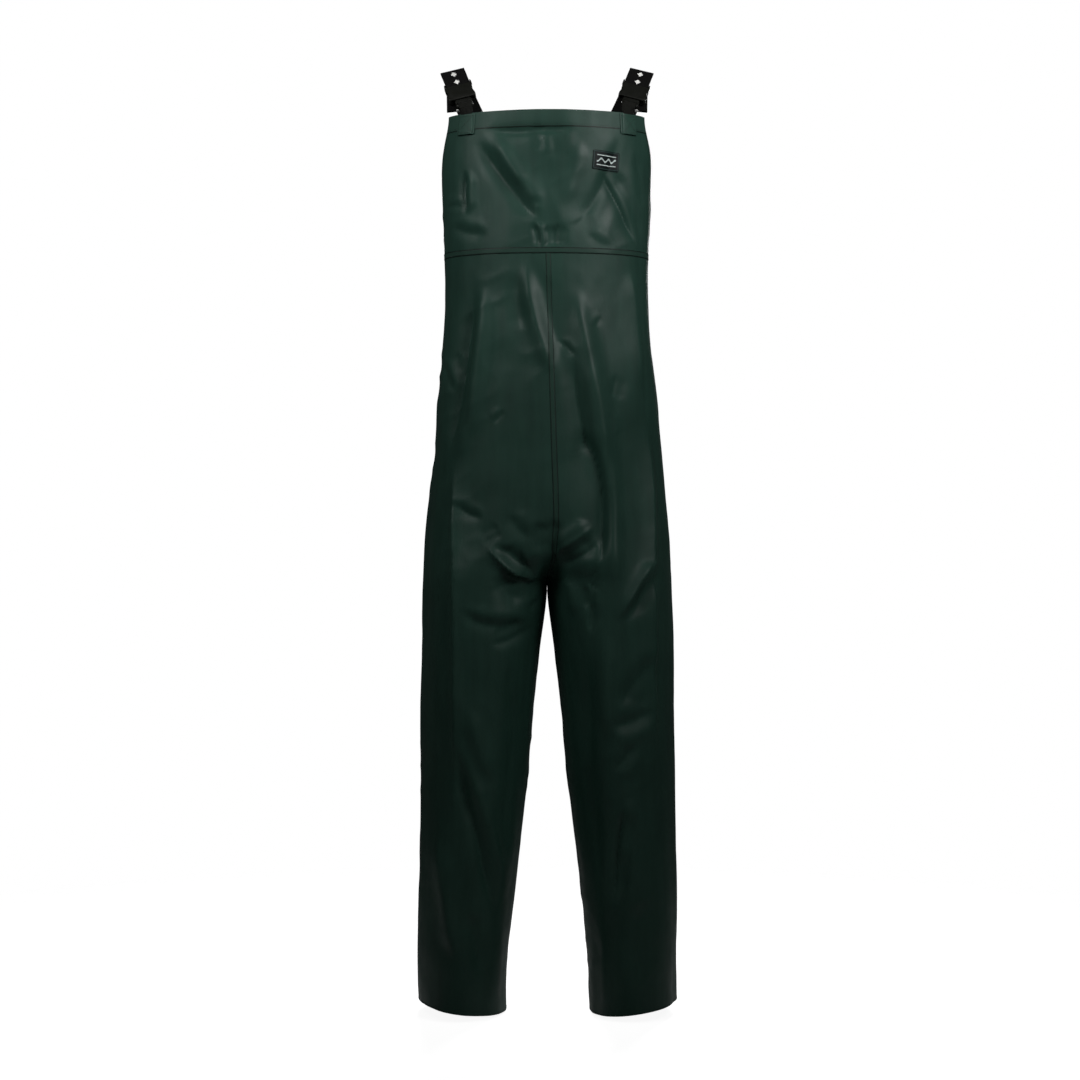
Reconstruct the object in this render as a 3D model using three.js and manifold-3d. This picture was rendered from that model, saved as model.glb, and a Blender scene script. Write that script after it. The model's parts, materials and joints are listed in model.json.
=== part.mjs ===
// Bib-and-brace waterproof overalls: a front bib, a lower back bib, two trouser legs and two elastic
// braces with side-release buckles. Millimetres, +Z up, the front faces -Y, +X is the wearer's left.
// Heights are counted up from the lowest point of the leg hems; the finished group is then lowered
// so that its origin lies midway between the tops of the two braces, where a hanger or body holds it.
import * as THREE from "three";
import { mergeVertices } from "three/addons/utils/BufferGeometryUtils.js";
import Module from "manifold-3d";

// ---- Heights ----
const crotchHeight = 664;
const legSplitStart = 930; // above this height the two legs share one round section
const kneeHeight = 402;
const waistHeight = 1104; // the narrowest level, below the waist seam
const waistSeamHeight = 1170;
const bibRise = 214; // front bib, waist seam to top edge
const sideRise = 32; // where the front and back bibs part, above the waist seam
const backRise = 92; // back bib, waist seam to top edge
const shoulderRise = 79; // brace top above the front bib's top edge

const bibTopHeight = waistSeamHeight + bibRise;
const sideTopHeight = waistSeamHeight + sideRise;
const backTopHeight = waistSeamHeight + backRise;
const chestHeight = bibTopHeight - 76;
const shoulderHeight = bibTopHeight + shoulderRise;

// ---- Half-widths and half-depths of the outer surface ----
const hemOuterX = 200;
const kneeOuterX = 196.5;
const thighOuterX = 192;
const hipHalfWidth = 172;
const waistHalfWidth = 157.5;
const chestHalfWidth = 163;
const bibTopHalfWidth = 157;
const hemInnerX = 64;
const kneeInnerX = 27;
const thighInnerX = 12; // at thighInnerHeight
const hemHalfDepth = 100;
const kneeHalfDepth = 103;
const thighHalfDepth = 115;
const hipHalfDepth = 116;
const waistHalfDepth = 106;
const bibTopHalfDepth = 98;
const thighInnerHeight = crotchHeight - 106;
const hipHeight = 930;
const hemTilt = 0.13; // rise of the hem plane for each mm outwards
const hemTiltReach = 240; // the tilt fades out up to this height

// ---- Cloth, facings and tapes ----
const cloth = 2;
const seamGap = 0.6; // between panels that meet edge to edge
const layerGap = 0.7; // between layers that lie on one another
const liningGap = 1.1; // between the cloth and what is fixed inside it
const facing = 1.2;
const tape = 0.8;
const tapeWidth = 20;
const bibHemWidth = 25;
const legHemWidth = 25;
const armholeFacingWidth = 12;
const backHemWidth = 22;
const bibCornerAngle = 18; // degrees: the bib's top corners stop this far before the side line
const chestEdgeAngle = 3;
const backCornerAngle = 64; // degrees from the side line to the back bib's top corners

// ---- Label and reinforcement patches ----
const labelWidth = 45;
const labelHeight = 29;
const labelThickness = 1;
const labelAngle = 56; // degrees round from the wearer's left side line
const labelCentreHeight = bibTopHeight - 75;
const labelTurn = 3.5; // degrees, its outer end hangs lower
const patchWidth = 32;
const patchHeight = 31;
const patchInset = 1; // below the edge of the bib
const patchThickness = 1.2;
const patchAngle = 38;
const anchorPatchWidth = 62;
const anchorPatchHeight = 34;

// ---- Braces, webbing and buckles ----
const braceWidth = 38;
const braceThickness = 1.8;
const braceTopX = 148;
const braceBackX = 122; // a point of the back strand, behind the bib's top level
const braceBackY = 76;
const braceBackRise = 26; // of that point above the front bib's top edge
const braceAnchorX = 46; // where the strand reaches the back bib's top edge
const braceFlatLength = 28; // level stretch that rests on the shoulder
const shoulderLean = 0.24; // fall of that stretch for each mm outwards
const braceBend = 14; // height given to the round bend in front of it
const braceOverBar = 2.3; // the brace's inner face, in front of the middle of the socket's bar
const tabWidth = 20;
const tabThickness = 1.6;
const buckleX = 130;
const buckleY = -43;
const buckleRise = 25; // socket mouth above the bib's top edge
const slotWidth = braceWidth + 1.2;
const slotSideWall = 1.9;
const socketWidth = slotWidth + 2 * slotSideWall;
const socketWaist = socketWidth - 3; // across the finger windows
const socketLength = 38;
const socketThickness = 11.5;
const socketWall = 2.2;
const socketSideWall = 3.1;
const cavityLength = 25;
const windowStart = 9;
const windowEnd = 22;
const slotStart = 29.2;
const slotLength = 4;
const barThickness = 3.6;
const plugWidth = tabWidth + 6;
const plugLength = 14.6;
const plugThickness = 8;
const plugGap = 0.9; // between plug and socket mouth
const plugSlotStart = 4; // above the plug's lower edge
const plugSlotLength = 4;
const tabClearance = 0.4; // between the plug and the webbing round its bar
const prongThickness = 5.4;
const prongRootX = 7.5;
const prongRootWidth = 4;
const tongueWidth = 6.4;
const tongueLength = 17;
const tongueThickness = 3.4;
const tailLean = 13; // degrees, the loose end hangs outwards
const tailBelowSlot = 45;
const tailAboveSlot = 11;

const degree = Math.PI / 180;
const wasm = await Module();
wasm.setup();

const mix = (a, b, t) => a + (b - a) * t;
const clamp = (value, low, high) => Math.min(high, Math.max(low, value));
const smooth = (t) => t * t * (3 - 2 * t);

// Evenly spaced numbers from a to b, both included.
const steps = (a, b, count) => Array.from({ length: count + 1 }, (_, i) => mix(a, b, i / count));

// A smooth curve through [height, value] knots that never overshoots between them.
function profile(knots) {
  const slope = knots.map((knot, i) => {
    if (i === 0 || i === knots.length - 1) return 0;
    const before = (knot[1] - knots[i - 1][1]) / (knot[0] - knots[i - 1][0]);
    const after = (knots[i + 1][1] - knot[1]) / (knots[i + 1][0] - knot[0]);
    return before * after <= 0 ? 0 : (2 * before * after) / (before + after);
  });
  return (height) => {
    const h = clamp(height, knots[0][0], knots.at(-1)[0]);
    const i = Math.min(knots.findLastIndex((knot) => knot[0] <= h), knots.length - 2);
    const [low, high] = [knots[i], knots[i + 1]];
    const span = high[0] - low[0];
    const t = (h - low[0]) / span;
    const bend = t * (1 - t) * span;
    return mix(low[1], high[1], smooth(t)) + bend * ((1 - t) * slope[i] - t * slope[i + 1]);
  };
}

const outerX = profile([
  [0, hemOuterX],
  [kneeHeight, kneeOuterX],
  [crotchHeight, thighOuterX],
  [hipHeight, hipHalfWidth],
  [waistHeight, waistHalfWidth],
  [chestHeight, chestHalfWidth],
  [bibTopHeight, bibTopHalfWidth],
]);
const innerX = profile([
  [0, hemInnerX],
  [kneeHeight, kneeInnerX],
  [thighInnerHeight, thighInnerX],
  [crotchHeight, 0],
]);
const halfDepth = profile([
  [0, hemHalfDepth],
  [kneeHeight, kneeHalfDepth],
  [crotchHeight, thighHalfDepth],
  [hipHeight, hipHalfDepth],
  [waistHeight, waistHalfDepth],
  [bibTopHeight, bibTopHalfDepth],
]);

// A point of the wearer's left leg or hip, depth mm inside the outer surface. turn runs from 0 at the
// front centre line or inseam, past the side seam at 0.5, to 1 at the back centre line or inseam.
function legPoint(turn, height, depth) {
  const outer = outerX(height);
  const inner = innerX(height);
  const split = clamp((legSplitStart - height) / (legSplitStart - crotchHeight), 0, 1) ** 3;
  const centre = height < crotchHeight ? (outer + inner) / 2 : (outer / 2) * split;
  const radius = outer - centre - depth;
  const inseamAngle = Math.acos(height < crotchHeight ? -1 : Math.max(-1, -centre / radius));
  const angle = inseamAngle * (1 - 2 * turn);
  const x = centre + radius * Math.cos(angle);
  const fade = clamp(1 - height / hemTiltReach, 0, 1) ** 2;
  return new THREE.Vector3(
    x + seamGap / 2,
    -(halfDepth(height) - depth) * Math.sin(angle),
    height + hemTilt * fade * (x - hemInnerX),
  );
}

// A point of the bib level's round section. angle is in degrees from the wearer's left side line,
// 90 at the front centre and -90 at the back centre.
function torsoPoint(angle, height, depth) {
  return new THREE.Vector3(
    (outerX(height) - depth) * Math.cos(angle * degree),
    -(halfDepth(height) - depth) * Math.sin(angle * degree),
    height,
  );
}

// How many degrees a length along the bib's outer surface covers near an angle.
function degreesFor(length, angle, height) {
  const before = torsoPoint(angle - 0.5, height, 0);
  return length / before.distanceTo(torsoPoint(angle + 0.5, height, 0));
}

// A closed sheet between two faces, each a grid of points over across x up. Seen from outside, across
// runs to the right and up runs upwards. A ring joins its last column to its first.
function sheetSolid(outerFace, innerFace, across, up, ring = false) {
  const columns = across.length;
  const rows = up.length;
  const positions = [];
  const indices = [];
  for (const face of [outerFace, innerFace])
    for (const v of up) for (const u of across) positions.push(...face(u, v).toArray());
  const outerAt = (i, j) => j * columns + (i % columns);
  const innerAt = (i, j) => columns * rows + outerAt(i, j);
  const quad = (a, b, c, d) => indices.push(a, b, c, a, c, d);
  const top = rows - 1;
  const last = columns - 1;
  for (let i = 0; i < (ring ? columns : last); i++) {
    for (let j = 0; j < top; j++) {
      quad(outerAt(i, j), outerAt(i + 1, j), outerAt(i + 1, j + 1), outerAt(i, j + 1));
      quad(innerAt(i, j), innerAt(i, j + 1), innerAt(i + 1, j + 1), innerAt(i + 1, j));
    }
    quad(innerAt(i, 0), innerAt(i + 1, 0), outerAt(i + 1, 0), outerAt(i, 0));
    quad(outerAt(i, top), outerAt(i + 1, top), innerAt(i + 1, top), innerAt(i, top));
  }
  for (let j = 0; j < top && !ring; j++) {
    quad(outerAt(0, j), outerAt(0, j + 1), innerAt(0, j + 1), innerAt(0, j));
    quad(innerAt(last, j), innerAt(last, j + 1), outerAt(last, j + 1), outerAt(last, j));
  }
  const geometry = new THREE.BufferGeometry();
  geometry.setAttribute("position", new THREE.Float32BufferAttribute(positions, 3));
  geometry.setIndex(indices);
  geometry.computeVertexNormals();
  return geometry;
}

// A layer of the garment from depth to depth + thickness inside the outer surface that place gives.
function layer(place, across, up, depth, thickness, ring = false) {
  const at = (extra) => (u, v) => place(u, v, depth + extra);
  return sheetSolid(at(0), at(thickness), across, up, ring);
}

// A flat band through stations, each with a centre, a unit vector across the band and the unit normal
// of its outer face.
function bandSolid(stations, width, thickness) {
  const at = (side) => (u, v) => {
    const { centre, across, normal } = stations[v];
    const middle = centre.clone().addScaledVector(across, u * width);
    return middle.addScaledVector(normal, (side * thickness) / 2);
  };
  return sheetSolid(at(1), at(-1), [-0.5, 0.5], stations.map((_, i) => i));
}

// ---- Materials ----
const finishes = {
  cloth: { color: 0x2c4038, roughness: 0.55 },
  facing: { color: 0x2a3b34, roughness: 0.7 },
  tape: { color: 0x3c4a44, roughness: 0.5 },
  label: { color: 0x16302f, roughness: 0.5 },
  webbing: { color: 0x161614, roughness: 0.85 },
  plastic: { color: 0x1b1c17, roughness: 0.45 },
};
const garment = new THREE.Group();
const halves = { left: new THREE.Group(), right: new THREE.Group() };
halves.right.scale.x = -1;
garment.add(halves.left, halves.right);

function addMesh(parent, name, geometry, finish) {
  const material = new THREE.MeshStandardMaterial({ ...finishes[finish], metalness: 0 });
  const mesh = new THREE.Mesh(geometry, material);
  mesh.name = name;
  parent.add(mesh);
  return mesh;
}

// ---- Legs ----
const nearCrotch = 12; // the inseam tapes stop this far below it
const riseTapeStart = crotchHeight + 66;
const legRows = [
  ...steps(0, kneeHeight, 4),
  ...steps(kneeHeight, crotchHeight - nearCrotch, 4).slice(1),
  crotchHeight,
  crotchHeight + nearCrotch,
  (crotchHeight + riseTapeStart) / 2,
  ...steps(riseTapeStart, legSplitStart, 4),
  ...steps(legSplitStart, waistSeamHeight - seamGap / 2, 4).slice(1),
];
const legColumns = 16;
const legGirth = Math.PI * (kneeHalfDepth + (kneeOuterX - kneeInnerX) / 2);
const seamTurn = seamGap / 2 / legGirth;
const tapeTurn = tapeWidth / 2 / legGirth;
const liningDepth = cloth + liningGap; // outer face of whatever is fixed inside the cloth
const waistTapeTop = waistSeamHeight + tapeWidth / 2;
const waistTapeBottom = waistSeamHeight - tapeWidth / 2;
const hemFacingTop = legHemWidth + seamGap;
const rowsBetween = (low, high) => [low, ...legRows.filter((row) => row > low && row < high), high];
const inseamTapeRows = rowsBetween(hemFacingTop, crotchHeight - nearCrotch);
const sideTapeRows = rowsBetween(hemFacingTop, waistTapeBottom - seamGap);

function addLeg(side) {
  const half = halves[side];
  const front = steps(seamTurn, 0.5 - seamTurn, legColumns);
  const back = steps(0.5 + seamTurn, 1 - seamTurn, legColumns);
  addMesh(half, `${side}_front_leg_panel`, layer(legPoint, front, legRows, 0, cloth), "cloth");
  addMesh(half, `${side}_back_leg_panel`, layer(legPoint, back, legRows, 0, cloth), "cloth");
  const round = steps(0, 1, 2 * legColumns).slice(0, -1);
  const hem = layer(legPoint, round, [seamGap, legHemWidth], liningDepth, facing, true);
  addMesh(half, `${side}_leg_hem_facing`, hem, "facing");
  const inseam = layer(legPoint, [-tapeTurn, 0, tapeTurn], inseamTapeRows, liningDepth, tape);
  addMesh(half, `${side}_inseam_tape`, inseam, "tape");
  const beside = [0.5 - tapeTurn, 0.5, 0.5 + tapeTurn];
  const sideTape = layer(legPoint, beside, sideTapeRows, liningDepth, tape);
  addMesh(half, `${side}_side_seam_tape`, sideTape, "tape");
}
addLeg("left");
addLeg("right");

// A point near the front or back centre seam: u runs from -1 on the wearer's right to 1 on the left.
function risePoint(back, u, height, depth) {
  const reach = Math.abs(u) * tapeTurn;
  const point = legPoint(back ? 1 - reach : reach, height, depth);
  if (u < 0) point.x = -point.x;
  if (u === 0) point.x = 0;
  return point;
}
const riseRows = rowsBetween(riseTapeStart, waistTapeBottom - seamGap);
const frontRisePoint = (u, v, depth) => risePoint(false, u, v, depth);
const backRisePoint = (u, v, depth) => risePoint(true, -u, v, depth);
const frontRise = layer(frontRisePoint, [-1, 0, 1], riseRows, liningDepth, tape);
addMesh(garment, "front_rise_tape", frontRise, "tape");
const backRiseTape = layer(backRisePoint, [-1, 0, 1], riseRows, liningDepth, tape);
addMesh(garment, "back_rise_tape", backRiseTape, "tape");

// ---- Bibs ----
const edgeAngle = profile([
  [sideTopHeight, 0],
  [chestHeight, chestEdgeAngle],
  [bibTopHeight, bibCornerAngle],
]);
const sideGapAngle = (seamGap / 2 / waistHalfDepth) / degree;

// The front bib: u runs from -1 at the wearer's right edge to 1 at the left edge.
function bibPoint(u, height, depth) {
  const reach = 90 - sideGapAngle - edgeAngle(height);
  return torsoPoint(90 - u * reach, height, depth);
}
const bibRows = [
  ...steps(waistSeamHeight + seamGap / 2, sideTopHeight, 2),
  ...steps(sideTopHeight, bibTopHeight, 10).slice(1),
];
const bibColumns = steps(-1, 1, 22);
addMesh(garment, "front_bib_panel", layer(bibPoint, bibColumns, bibRows, 0, cloth), "cloth");
const bibHemRows = [bibTopHeight - bibHemWidth, bibTopHeight - seamGap];
const bibHem = layer(bibPoint, bibColumns, bibHemRows, liningDepth, facing);
addMesh(garment, "bib_top_hem_facing", bibHem, "facing");

// The back bib: u runs from -1 at the wearer's left side line to 1 at the right, v from 0 to 1 upwards.
function backTopAt(u) {
  const fromSide = (1 - Math.abs(u)) * 90;
  return mix(sideTopHeight, backTopHeight, clamp(fromSide / backCornerAngle, 0, 1) ** 2);
}
const backAngleAt = (u) => -90 - u * (90 - sideGapAngle);
const backPoint = (u, v, depth) =>
  torsoPoint(backAngleAt(u), mix(waistSeamHeight + seamGap / 2, backTopAt(u), v), depth);
const backHemPoint = (u, v, depth) =>
  torsoPoint(backAngleAt(u), backTopAt(u) - mix(backHemWidth, seamGap, v), depth);
addMesh(garment, "back_bib_panel", layer(backPoint, bibColumns, steps(0, 1, 4), 0, cloth), "cloth");
const backHem = layer(backHemPoint, bibColumns.slice(1, -1), [0, 1], liningDepth, facing);
addMesh(garment, "back_top_hem_facing", backHem, "facing");

// Facings along the bib's side edges, below the top hem.
const armholeTop = bibTopHeight - bibHemWidth - seamGap;
const armholeRows = [...bibRows.filter((row) => row > sideTopHeight && row < armholeTop), armholeTop];
function armholePoint(u, height, depth) {
  const reach = degreesFor(armholeFacingWidth, chestEdgeAngle, chestHeight);
  return torsoPoint(edgeAngle(height) + mix(reach, sideGapAngle, u), height, depth);
}
for (const [side, half] of Object.entries(halves)) {
  const armhole = layer(armholePoint, [0, 0.5, 1], armholeRows, liningDepth, facing);
  addMesh(half, `${side}_armhole_facing`, armhole, "facing");
}

// The tape over the waist seam goes all the way round on the inside.
const waistRound = steps(90, -270, 44).slice(0, -1);
const waistTape = layer(torsoPoint, waistRound, [waistTapeBottom, waistTapeTop], liningDepth, tape, true);
addMesh(garment, "waist_seam_tape", waistTape, "tape");

// How far a flat band of a width stands off the round section at its edges.
function crownOf(width, angle, height) {
  const reach = degreesFor(width / 2, angle, height);
  const edges = torsoPoint(angle - reach, height, 0).add(torsoPoint(angle + reach, height, 0));
  return edges.multiplyScalar(0.5).distanceTo(torsoPoint(angle, height, 0));
}

// A rectangle on the outside of the bib level, turned a little in its own plane.
function patchPlace(centreAngle, centreHeight, width, height, turn) {
  const perMillimetre = degreesFor(1, centreAngle, centreHeight);
  return (u, v, depth) => {
    const right = u * width * Math.cos(turn) + v * height * Math.sin(turn);
    const rise = v * height * Math.cos(turn) - u * width * Math.sin(turn);
    return torsoPoint(centreAngle - right * perMillimetre, centreHeight + rise, depth);
  };
}
const patchSteps = [-0.5, 0, 0.5];
const patchColumns = steps(-0.5, 0.5, 4);
const labelTilt = labelTurn * degree;
const labelPlace = patchPlace(labelAngle, labelCentreHeight, labelWidth, labelHeight, labelTilt);
const labelDepth = -layerGap - labelThickness;
const label = layer(labelPlace, patchColumns, patchSteps, labelDepth, labelThickness);
addMesh(garment, "label_patch", label, "label");

// ---- Buckle frame: right is outwards across the brace, up climbs the brace, out faces the front ----
const mouth = new THREE.Vector3(buckleX, buckleY, bibTopHeight + buckleRise);
const shoulder = new THREE.Vector3(braceTopX, 0, shoulderHeight);
const bucklePull = new THREE.Vector3().subVectors(shoulder, mouth).normalize();
const chestFacing = new THREE.Vector3(0.1, -0.8, 0.6); // roughly outwards from the chest there
const buckleRight = new THREE.Vector3().crossVectors(bucklePull, chestFacing).normalize();
const buckleOut = new THREE.Vector3().crossVectors(buckleRight, bucklePull);
const inBuckle = (right, up, out) =>
  mouth
    .clone()
    .addScaledVector(buckleRight, right)
    .addScaledVector(bucklePull, up)
    .addScaledVector(buckleOut, out);
const buckleMatrix = new THREE.Matrix4().makeBasis(buckleRight, bucklePull, buckleOut).setPosition(mouth);

// A plate in the buckle's plane: an outline of [right, up] points given a thickness about the middle.
function plate(outline, thickness, bevel = 0) {
  const shape = new THREE.Shape(outline.map(([x, y]) => new THREE.Vector2(x, y)));
  const geometry = new THREE.ExtrudeGeometry(shape, {
    depth: thickness - 2 * bevel,
    bevelEnabled: bevel > 0,
    bevelThickness: bevel,
    bevelSize: bevel,
    bevelOffset: -bevel,
    bevelSegments: 1,
    curveSegments: 6,
  });
  return geometry.translate(0, 0, bevel - thickness / 2);
}
function box(rightLow, rightHigh, upLow, upHigh, thickness) {
  const outline = [
    [rightLow, upLow],
    [rightHigh, upLow],
    [rightHigh, upHigh],
    [rightLow, upHigh],
  ];
  return plate(outline, thickness);
}

function solidOf(geometry) {
  const bare = geometry.clone();
  bare.deleteAttribute("normal");
  bare.deleteAttribute("uv");
  const merged = mergeVertices(bare, 1e-4);
  return new wasm.Manifold(
    new wasm.Mesh({
      numProp: 3,
      vertProperties: new Float32Array(merged.attributes.position.array),
      triVerts: new Uint32Array(merged.index.array),
    }),
  );
}
function geometryOf(solid) {
  const made = solid.getMesh();
  const geometry = new THREE.BufferGeometry();
  geometry.setAttribute("position", new THREE.Float32BufferAttribute(made.vertProperties, 3));
  geometry.setIndex(new THREE.Uint32BufferAttribute(made.triVerts, 1));
  geometry.computeVertexNormals();
  return geometry;
}

const mirrored = (outline) => outline.map(([x, y]) => [-x, y]).reverse();
const socketHalf = socketWidth / 2;
const cavityHalf = socketHalf - socketSideWall;

// The socket: a flat box with a waisted outline, hollow for the plug, with finger windows in both
// sides and a slot below the bar that the brace goes round.
function socketGeometry() {
  const corner = 2; // cut off at the mouth
  const flare = 3; // length over which the outline draws in beside the windows
  const waistUp = (windowStart + windowEnd) / 2;
  const rightSide = [
    [socketHalf - corner, 0],
    [socketHalf, corner],
    [socketHalf, windowStart - flare],
    [socketWaist / 2, waistUp - flare],
    [socketWaist / 2, waistUp + flare],
    [socketHalf, windowEnd + flare],
    [socketHalf, socketLength - flare],
    [socketHalf - flare, socketLength],
  ];
  let solid = solidOf(plate([...rightSide, ...mirrored(rightSide)], socketThickness, 1));
  const innerThickness = socketThickness - 2 * socketWall;
  const windowThickness = innerThickness - 0.2; // so that no cut's face lies in another's
  const slotHalf = slotWidth / 2;
  const cuts = [
    box(-cavityHalf, cavityHalf, -1, cavityLength, innerThickness),
    box(-socketHalf - 1, -cavityHalf + 1, windowStart, windowEnd, windowThickness),
    box(cavityHalf - 1, socketHalf + 1, windowStart, windowEnd, windowThickness),
    box(-slotHalf, slotHalf, slotStart, slotStart + slotLength, socketThickness + 2),
  ];
  for (const side of [-1, 1]) {
    const besideBar = box(-slotHalf, slotHalf, slotStart + 1, socketLength + 1, socketThickness);
    cuts.push(besideBar.translate(0, 0, (side * (socketThickness + barThickness)) / 2));
  }
  for (const cut of cuts) solid = solid.subtract(solidOf(cut));
  return geometryOf(solid);
}

// The plug: a bar for the bib's webbing, a body and a middle tongue that guides it into the socket.
function plugGeometry() {
  const half = plugWidth / 2;
  const low = -plugGap - plugLength;
  const outline = [
    [-half + 2, low],
    [half - 2, low],
    [half, low + 2],
    [half, -plugGap - 2],
    [half - 2, -plugGap],
    [-half + 2, -plugGap],
    [-half, -plugGap - 2],
    [-half, low + 2],
  ];
  const slotHalf = tabWidth / 2 + 0.5;
  const slotLow = low + plugSlotStart;
  const slot = box(-slotHalf, slotHalf, slotLow, slotLow + plugSlotLength, plugThickness + 2);
  const tongueHalf = tongueWidth / 2;
  const tongue = box(-tongueHalf, tongueHalf, -plugGap - 1, tongueLength, tongueThickness);
  const body = solidOf(plate(outline, plugThickness, 0.8)).subtract(solidOf(slot));
  return geometryOf(body.add(solidOf(tongue)));
}

// A spring arm of the plug. Its ramped barb fills the socket's window and leaves it as the arm closes.
const prongOutline = [
  [prongRootX, 0.4],
  [prongRootX + prongRootWidth, 0.4],
  [cavityHalf - 5, windowStart - 3],
  [cavityHalf - 1, windowStart + 0.5],
  [cavityHalf + 0.6, windowStart + 7],
  [cavityHalf + 0.6, windowEnd - 3],
  [cavityHalf - 2, windowEnd + 0.2],
  [cavityHalf - 4, windowEnd + 0.2],
  [cavityHalf - 4.2, windowEnd - 4],
  [prongRootX + 2.5, windowStart - 1],
];
// The middle of the brace on the outside of the back bib, where it slants in towards the centre.
const braceSlant = Math.atan2(braceBackX - braceAnchorX, bibTopHeight + braceBackRise - backTopHeight);
function onBack(height) {
  const x = braceAnchorX - (backTopHeight - height) * Math.tan(braceSlant);
  const angle = -Math.acos(x / outerX(height)) / degree;
  const lift = layerGap + braceThickness / 2;
  const beside = torsoPoint(angle + 1, height, -lift);
  const centre = torsoPoint(angle, height, -lift);
  const outwards = beside.sub(centre).normalize();
  const across = outwards.clone().multiplyScalar(Math.cos(braceSlant)).setZ(-Math.sin(braceSlant));
  const down = new THREE.Vector3(0, 0, -1);
  return { centre, across: across.normalize(), normal: new THREE.Vector3().crossVectors(outwards, down) };
}

const station = (centre, across, normal) => ({ centre, across, normal });
// A station whose outer face looks away from the inside of the path's turn.
function stationAlong(centre, across, tangent) {
  return station(centre, across, new THREE.Vector3().crossVectors(across, tangent).normalize());
}

// Stations of the brace, from the slot in the socket over the shoulder to the back bib.
function braceStations() {
  const sideways = new THREE.Vector3(1, 0, -shoulderLean).normalize();
  const backwards = new THREE.Vector3(0, 1, 0);
  const slotUp = slotStart + slotLength / 2;
  const front = braceOverBar + braceThickness / 2;
  const wrapNormal = bucklePull.clone().negate();
  const bendNormal = new THREE.Vector3().addVectors(wrapNormal, buckleOut).normalize();
  const stations = [
    station(inBuckle(0, slotUp, -3), buckleRight, wrapNormal),
    station(inBuckle(0, slotUp, front - 2.4), buckleRight, wrapNormal),
    station(inBuckle(0, slotUp + 0.7, front - 0.5), buckleRight, bendNormal),
    station(inBuckle(0, slotStart + slotLength + 1, front), buckleRight, buckleOut),
    station(inBuckle(0, socketLength + 3, front - 0.4), buckleRight, buckleOut),
  ];
  const frontEdge = shoulder.clone().setY(-braceFlatLength / 2);
  const backEdge = shoulder.clone().setY(braceFlatLength / 2);
  const aboveSocket = stations.at(-1).centre;
  const bendStart = frontEdge.clone().addScaledVector(bucklePull, -braceBend);
  for (const t of [0.35, 0.7, 0.9]) {
    stations.push(station(aboveSocket.clone().lerp(bendStart, t), buckleRight, buckleOut));
  }
  const bendMiddle = frontEdge.clone().addScaledVector(backwards, -6);
  const frontBend = new THREE.QuadraticBezierCurve3(bendStart, bendMiddle, frontEdge);
  for (const t of [0.33, 0.66, 1]) {
    const across = buckleRight.clone().lerp(sideways, t).normalize();
    stations.push(stationAlong(frontBend.getPoint(t), across, frontBend.getTangent(t)));
  }
  stations.push(stationAlong(backEdge, sideways, backwards));
  const passing = new THREE.Vector3(braceBackX, braceBackY, bibTopHeight + braceBackRise);
  const top = onBack(backTopHeight);
  const strand = new THREE.CatmullRomCurve3([backEdge, passing, top.centre], false, "centripetal");
  for (const t of steps(0, 1, 12).slice(1, -1)) {
    const leaning = sideways.clone().lerp(top.across, smooth(t));
    const tangent = strand.getTangent(t);
    const normal = new THREE.Vector3().crossVectors(leaning, tangent).normalize();
    const across = new THREE.Vector3().crossVectors(tangent, normal);
    stations.push(station(strand.getPoint(t), across, normal));
  }
  stations.push(top, onBack(backTopHeight - anchorPatchHeight + 6));
  return stations;
}

// Stations of the bib's webbing: up the outside of the bib, over the plug's bar and down behind itself.
function tabStations() {
  const lift = layerGap + tabThickness / 2;
  const along = degreesFor(1, patchAngle, bibTopHeight);
  const upwards = new THREE.Vector3(0, 0, 1);
  const onBib = (height) => {
    const centre = torsoPoint(patchAngle, height, -lift);
    const beside = torsoPoint(patchAngle - along, height, -lift);
    return stationAlong(centre, beside.sub(centre).normalize(), upwards);
  };
  const low = -plugGap - plugLength;
  const slotUp = low + plugSlotStart + plugSlotLength / 2;
  const front = plugThickness / 2 + tabClearance + tabThickness / 2;
  const leaving = onBib(bibTopHeight);
  const arriving = station(inBuckle(0, low - 4, front - 1), buckleRight, buckleOut);
  const midway = station(
    leaving.centre.clone().lerp(arriving.centre, 0.5),
    leaving.across.clone().lerp(arriving.across, 0.5).normalize(),
    leaving.normal.clone().lerp(arriving.normal, 0.5).normalize(),
  );
  const stations = [onBib(bibTopHeight - patchHeight + 4), leaving, midway, arriving];
  const roundBar = [
    [low, front, 0],
    [low + plugSlotStart, front, 0],
    [slotUp, front - 1.6, 90],
    [slotUp, 1.6 - front, 90],
    [low + plugSlotStart, -front, 180],
    [low, -front, 180],
    [low - 4, 1 - front, 180],
  ];
  for (const [up, out, turned] of roundBar) {
    const normal = buckleOut.clone().applyAxisAngle(buckleRight, -turned * degree);
    stations.push(station(inBuckle(0, up, out), buckleRight, normal));
  }
  return stations;
}

// A patch sewn over the end of a band, standing clear of its crowned edges.
function patchOver(band, centreAngle, centreHeight, width, height) {
  const crown = crownOf(band.width, centreAngle, centreHeight);
  const cover = 2 * layerGap + band.thickness + crown + patchThickness;
  const place = patchPlace(centreAngle, centreHeight, width, height, 0);
  return layer(place, patchColumns, patchSteps, -cover, patchThickness);
}

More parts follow.
